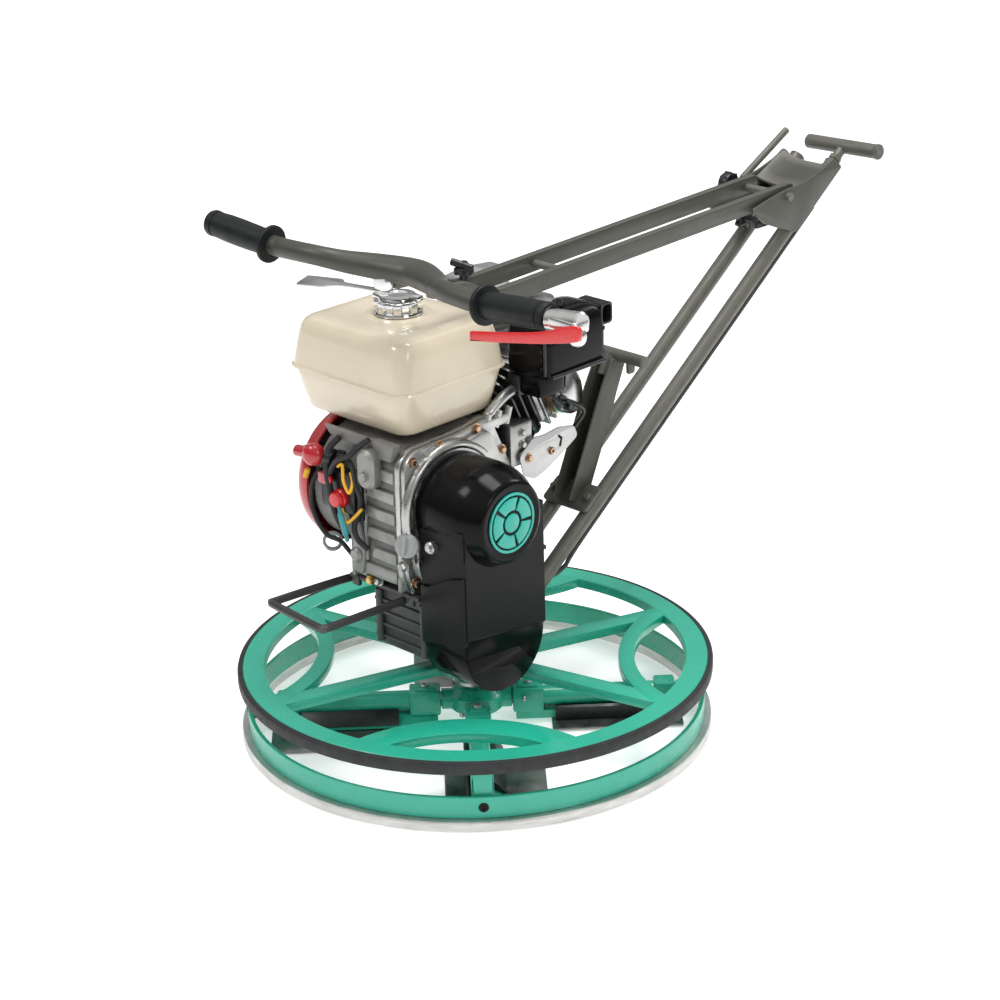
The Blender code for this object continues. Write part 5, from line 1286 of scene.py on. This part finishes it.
def make_handlebar():
    half = [(0.0, -0.078, 0.6165), (0.04, -0.092, 0.619), (0.08, -0.116, 0.624), (0.11, -0.134, 0.63),
            (0.145, -0.1395, 0.6305), tuple(grip_point(0.176))]
    left = [(-x, y, z) for x, y, z in half[:0:-1]]
    middle = smooth_route([*left, *half], 10)
    route = [grip_point(-0.287), *middle, grip_point(0.2915)]
    radius, flat = [], []
    for point in route:
        share = max(0.0, 1 - abs(point.x) / 0.115)
        share = share * share * (3 - 2 * share)
        radius.append(0.0122 * (1 + 0.72 * share))
        flat.append(1 - 0.22 * share)
    bar = Shape()
    bar.pipe(route, radius, 36, flat=flat, cap=0.0012)
    bar.piece("bent_handlebar", "olive", ["handlebar"], "upper_handle")
    stand = Shape()
    stand.box((-0.046, -0.104, 0.594), (-0.026, -0.089, 0.612), 0.0015)
    stand.rod((-0.036, -0.096, 0.586), (-0.036, -0.096, 0.596), 0.006, sides=24, chamfer=0.0008)
    stand.piece("throttle_stand", "chrome_dull", body="upper_handle")
    saddle = Shape()
    for x in (-BAR_X, BAR_X):
        saddle.box((x - 0.006, -0.086, 0.593), (x + 0.006, -0.062, 0.609), 0.002)
    saddle.piece("handlebar_saddles", "olive", body="upper_handle")

    for side, name, inner, outer in ((-1, "left", 0.186, 0.2915), (1, "right", 0.178, 0.289)):
        start, end = grip_point(side * inner), grip_point(side * outer)
        length = (end - start).length
        body = Shape()
        body.turned([(0.0122, -0.0006), (0.023, 0), (0.0235, 0.001), (0.0235, 0.0042), (0.0226, 0.0054),
                (0.016, 0.0062), (0.0158, 0.01), (0.0166, 0.03), (0.017, 0.056), (0.0168, length - 0.03),
                (0.016, length - 0.016), (0.016, length - 0.013), (0.015, length - 0.0124),
                (0.015, length - 0.0106), (0.0162, length - 0.01), (0.0165, length - 0.004),
                (0.015, length - 0.0008), (0.0122, length)], start, end - start, 56)
        body.piece(f"{name}_hand_grip", "grip", [f"{name}_grip"], "upper_handle")
    end = Shape()
    away = (grip_point(-0.2915) - grip_point(-0.186)).normalized()
    end.turned([(0, -0.006), (0.0125, -0.006), (0.0125, 0), (0.011, 0.001), (0, 0.0012)],
            grip_point(-0.2905), away, 40)
    end.piece("left_grip_end", "grip", body="upper_handle")

    clamp = Shape()
    start = Vector((0.29, -0.148, 0.6376))
    way = Vector((1, -0.02, 0.13)).normalized()
    clamp.rod(start, start + way * 0.05, 0.0131, 0.0126, chamfer=0.0022)
    clamp.box((0.3, -0.163, 0.633), (0.342, -0.14, 0.647), 0.003)
    clamp.piece("lever_clamp_block", "chrome_dull", ["lever_clamp"], "upper_handle")
    pivot = Shape()
    pivot.turned([(0, 0), (0.0118, 0), (0.0125, 0.0012), (0.0125, 0.006), (0.011, 0.0074), (0, 0.0076)],
                 (0.348, -0.164, 0.637), (0, -1, 0), 40)
    pivot.piece("lever_pivot", "chrome_dull", body="upper_handle")
    lever = Shape()
    outline = rounded_outline([(0.192, 0.599), (0.236, 0.6065), (0.298, 0.6185), (0.343, 0.629),
            (0.362, 0.635), (0.362, 0.652), (0.348, 0.65), (0.2975, 0.6315), (0.236, 0.6185),
            (0.192, 0.6105)], [0.001, 0.02, 0.02, 0.01, 0.008, 0.006, 0.01, 0.02, 0.02, 0.001])
    lever.plate(outline, "Y", -0.1775, -0.172, bevel=0.002)
    lever.piece("dead_man_blade", "red_lever", ["dead_man_lever"], "dead_man")
    blade = Shape()
    outline = rounded_outline([(-0.03, -0.091), (-0.07, -0.101), (-0.096, -0.106), (-0.104, -0.098),
            (-0.15, -0.116), (-0.136, -0.148), (-0.106, -0.134), (-0.096, -0.118), (-0.068, -0.109),
            (-0.026, -0.101)], [0.003, 0.006, 0.006, 0.006, 0.003, 0.003, 0.006, 0.006, 0.006, 0.003])
    blade.plate(outline, "Z", 0.5906, 0.5934, bevel=0.0007)
    blade.rod((-0.036, -0.096, 0.5885), (-0.036, -0.096, 0.5938), 0.0075, sides=32, chamfer=0.0008)
    blade.piece("throttle_blade", "sheet", ["throttle_lever"], "throttle")


# ================================================================ floor, light and camera
FLOOR_REACH, FLOOR_TOP = 40, -0.0008
FLOOR_GLOW, WORLD_STRENGTH = 0.42, 0.75
SKY = ((0.05, 0.12), (0.75, 1.0))           # (height, brightness) of the world's grey gradient
LIGHTS = (                                  # name, place, size, power, aim
    ("key", (-1.0, -2.0, 3.0), 0.9, 25, (0, 0, 0.3)),
    ("fill", (2.9, -0.6, 1.9), 0.9, 17, (0, 0, 0.3)),
    ("back", (0.4, 2.8, 2.4), 1.2, 24, (0, 0, 0.35)),
    ("top", (0.0, 0.2, 3.2), 1.2, 46, (0, 0, 0.2)),
)


def make_stage():
    floor = Shape()
    floor.box((-FLOOR_REACH, -FLOOR_REACH, -0.02), (FLOOR_REACH, FLOOR_REACH, FLOOR_TOP))
    data = bpy.data.meshes.new("studio_floor")
    floor.mesh.to_mesh(data)
    floor.mesh.free()
    made = bpy.data.objects.new("studio_floor", data)
    bpy.context.scene.collection.objects.link(made)
    paint = node_material("studio_floor_paint", (0.9, 0.9, 0.9), 0.7, vary=0.004, grain=2, bump=0,
            specular=0.1)
    shader = paint.node_tree.nodes["Principled BSDF"]
    shader.inputs["Emission Color"].default_value = (1, 1, 1, 1)
    shader.inputs["Emission Strength"].default_value = FLOOR_GLOW
    data.materials.append(paint)

    world = bpy.data.worlds.new("studio")
    world.use_nodes = True
    nodes, links = world.node_tree.nodes, world.node_tree.links
    place = nodes.new("ShaderNodeTexCoord")
    split = nodes.new("ShaderNodeSeparateXYZ")
    sky = nodes.new("ShaderNodeValToRGB")
    for element, (at, value) in zip(sky.color_ramp.elements, SKY):
        element.position = at
        element.color = (value, value, value, 1)
    links.new(place.outputs["Generated"], split.inputs["Vector"])
    links.new(split.outputs["Z"], sky.inputs["Fac"])
    links.new(sky.outputs["Color"], nodes["Background"].inputs["Color"])
    nodes["Background"].inputs["Strength"].default_value = WORLD_STRENGTH
    bpy.context.scene.world = world

    for name, at, size, power, aim in LIGHTS:
        lamp = bpy.data.lights.new(name, "AREA")
        lamp.shape = "SQUARE"
        lamp.size = size
        lamp.energy = power
        stand = bpy.data.objects.new(name, lamp)
        bpy.context.scene.collection.objects.link(stand)
        stand.location = at
        stand.rotation_euler = (Vector(aim) - Vector(at)).to_track_quat("-Z", "Y").to_euler()


CAMERA_AT = Vector((2.2673, -2.1759, 1.5668))      # in the machine's frame
CAMERA_ANGLES = (45.5, 21.92, -1.64)               # degrees to the right, down and rolled
CAMERA_LENS, CAMERA_SENSOR = 98.04, 36             # millimetres


def make_camera():
    turn, pitch, roll = (math.radians(angle) for angle in CAMERA_ANGLES)
    back = Vector((math.sin(turn) * math.cos(pitch), -math.cos(turn) * math.cos(pitch), math.sin(pitch)))
    level = Vector((math.cos(turn), math.sin(turn), 0))
    upright = back.cross(level)
    right = level * math.cos(roll) + upright * math.sin(roll)
    up = upright * math.cos(roll) - level * math.sin(roll)
    lens = bpy.data.cameras.new("camera")
    lens.lens = CAMERA_LENS
    lens.sensor_width = CAMERA_SENSOR
    lens.clip_end = 50
    made = bpy.data.objects.new("camera", lens)
    bpy.context.scene.collection.objects.link(made)
    axes = Matrix((right, up, back)).transposed()
    made.matrix_world = Matrix.Translation(CAMERA_AT + ORIGIN) @ axes.to_4x4()
    bpy.context.scene.camera = made


bpy.context.scene.view_settings.view_transform = "Standard"


# ================================================================ assembly
BUILDERS = [
    make_rings, make_spider, make_blades, make_guard, make_pitch_linkage,
    make_belt_cover, make_gearbox, make_bed, make_case, make_cylinder, make_exhaust_side,
    make_air_cleaner, make_tank, make_recoil, make_controls, make_carry_loop,
    make_lower_handle, make_fold_bracket, make_pitch_handle, make_upper_bars, make_handlebar,
    make_stage, make_camera,
]
for builder in BUILDERS:
    builder()

bpy.context.view_layer.update()
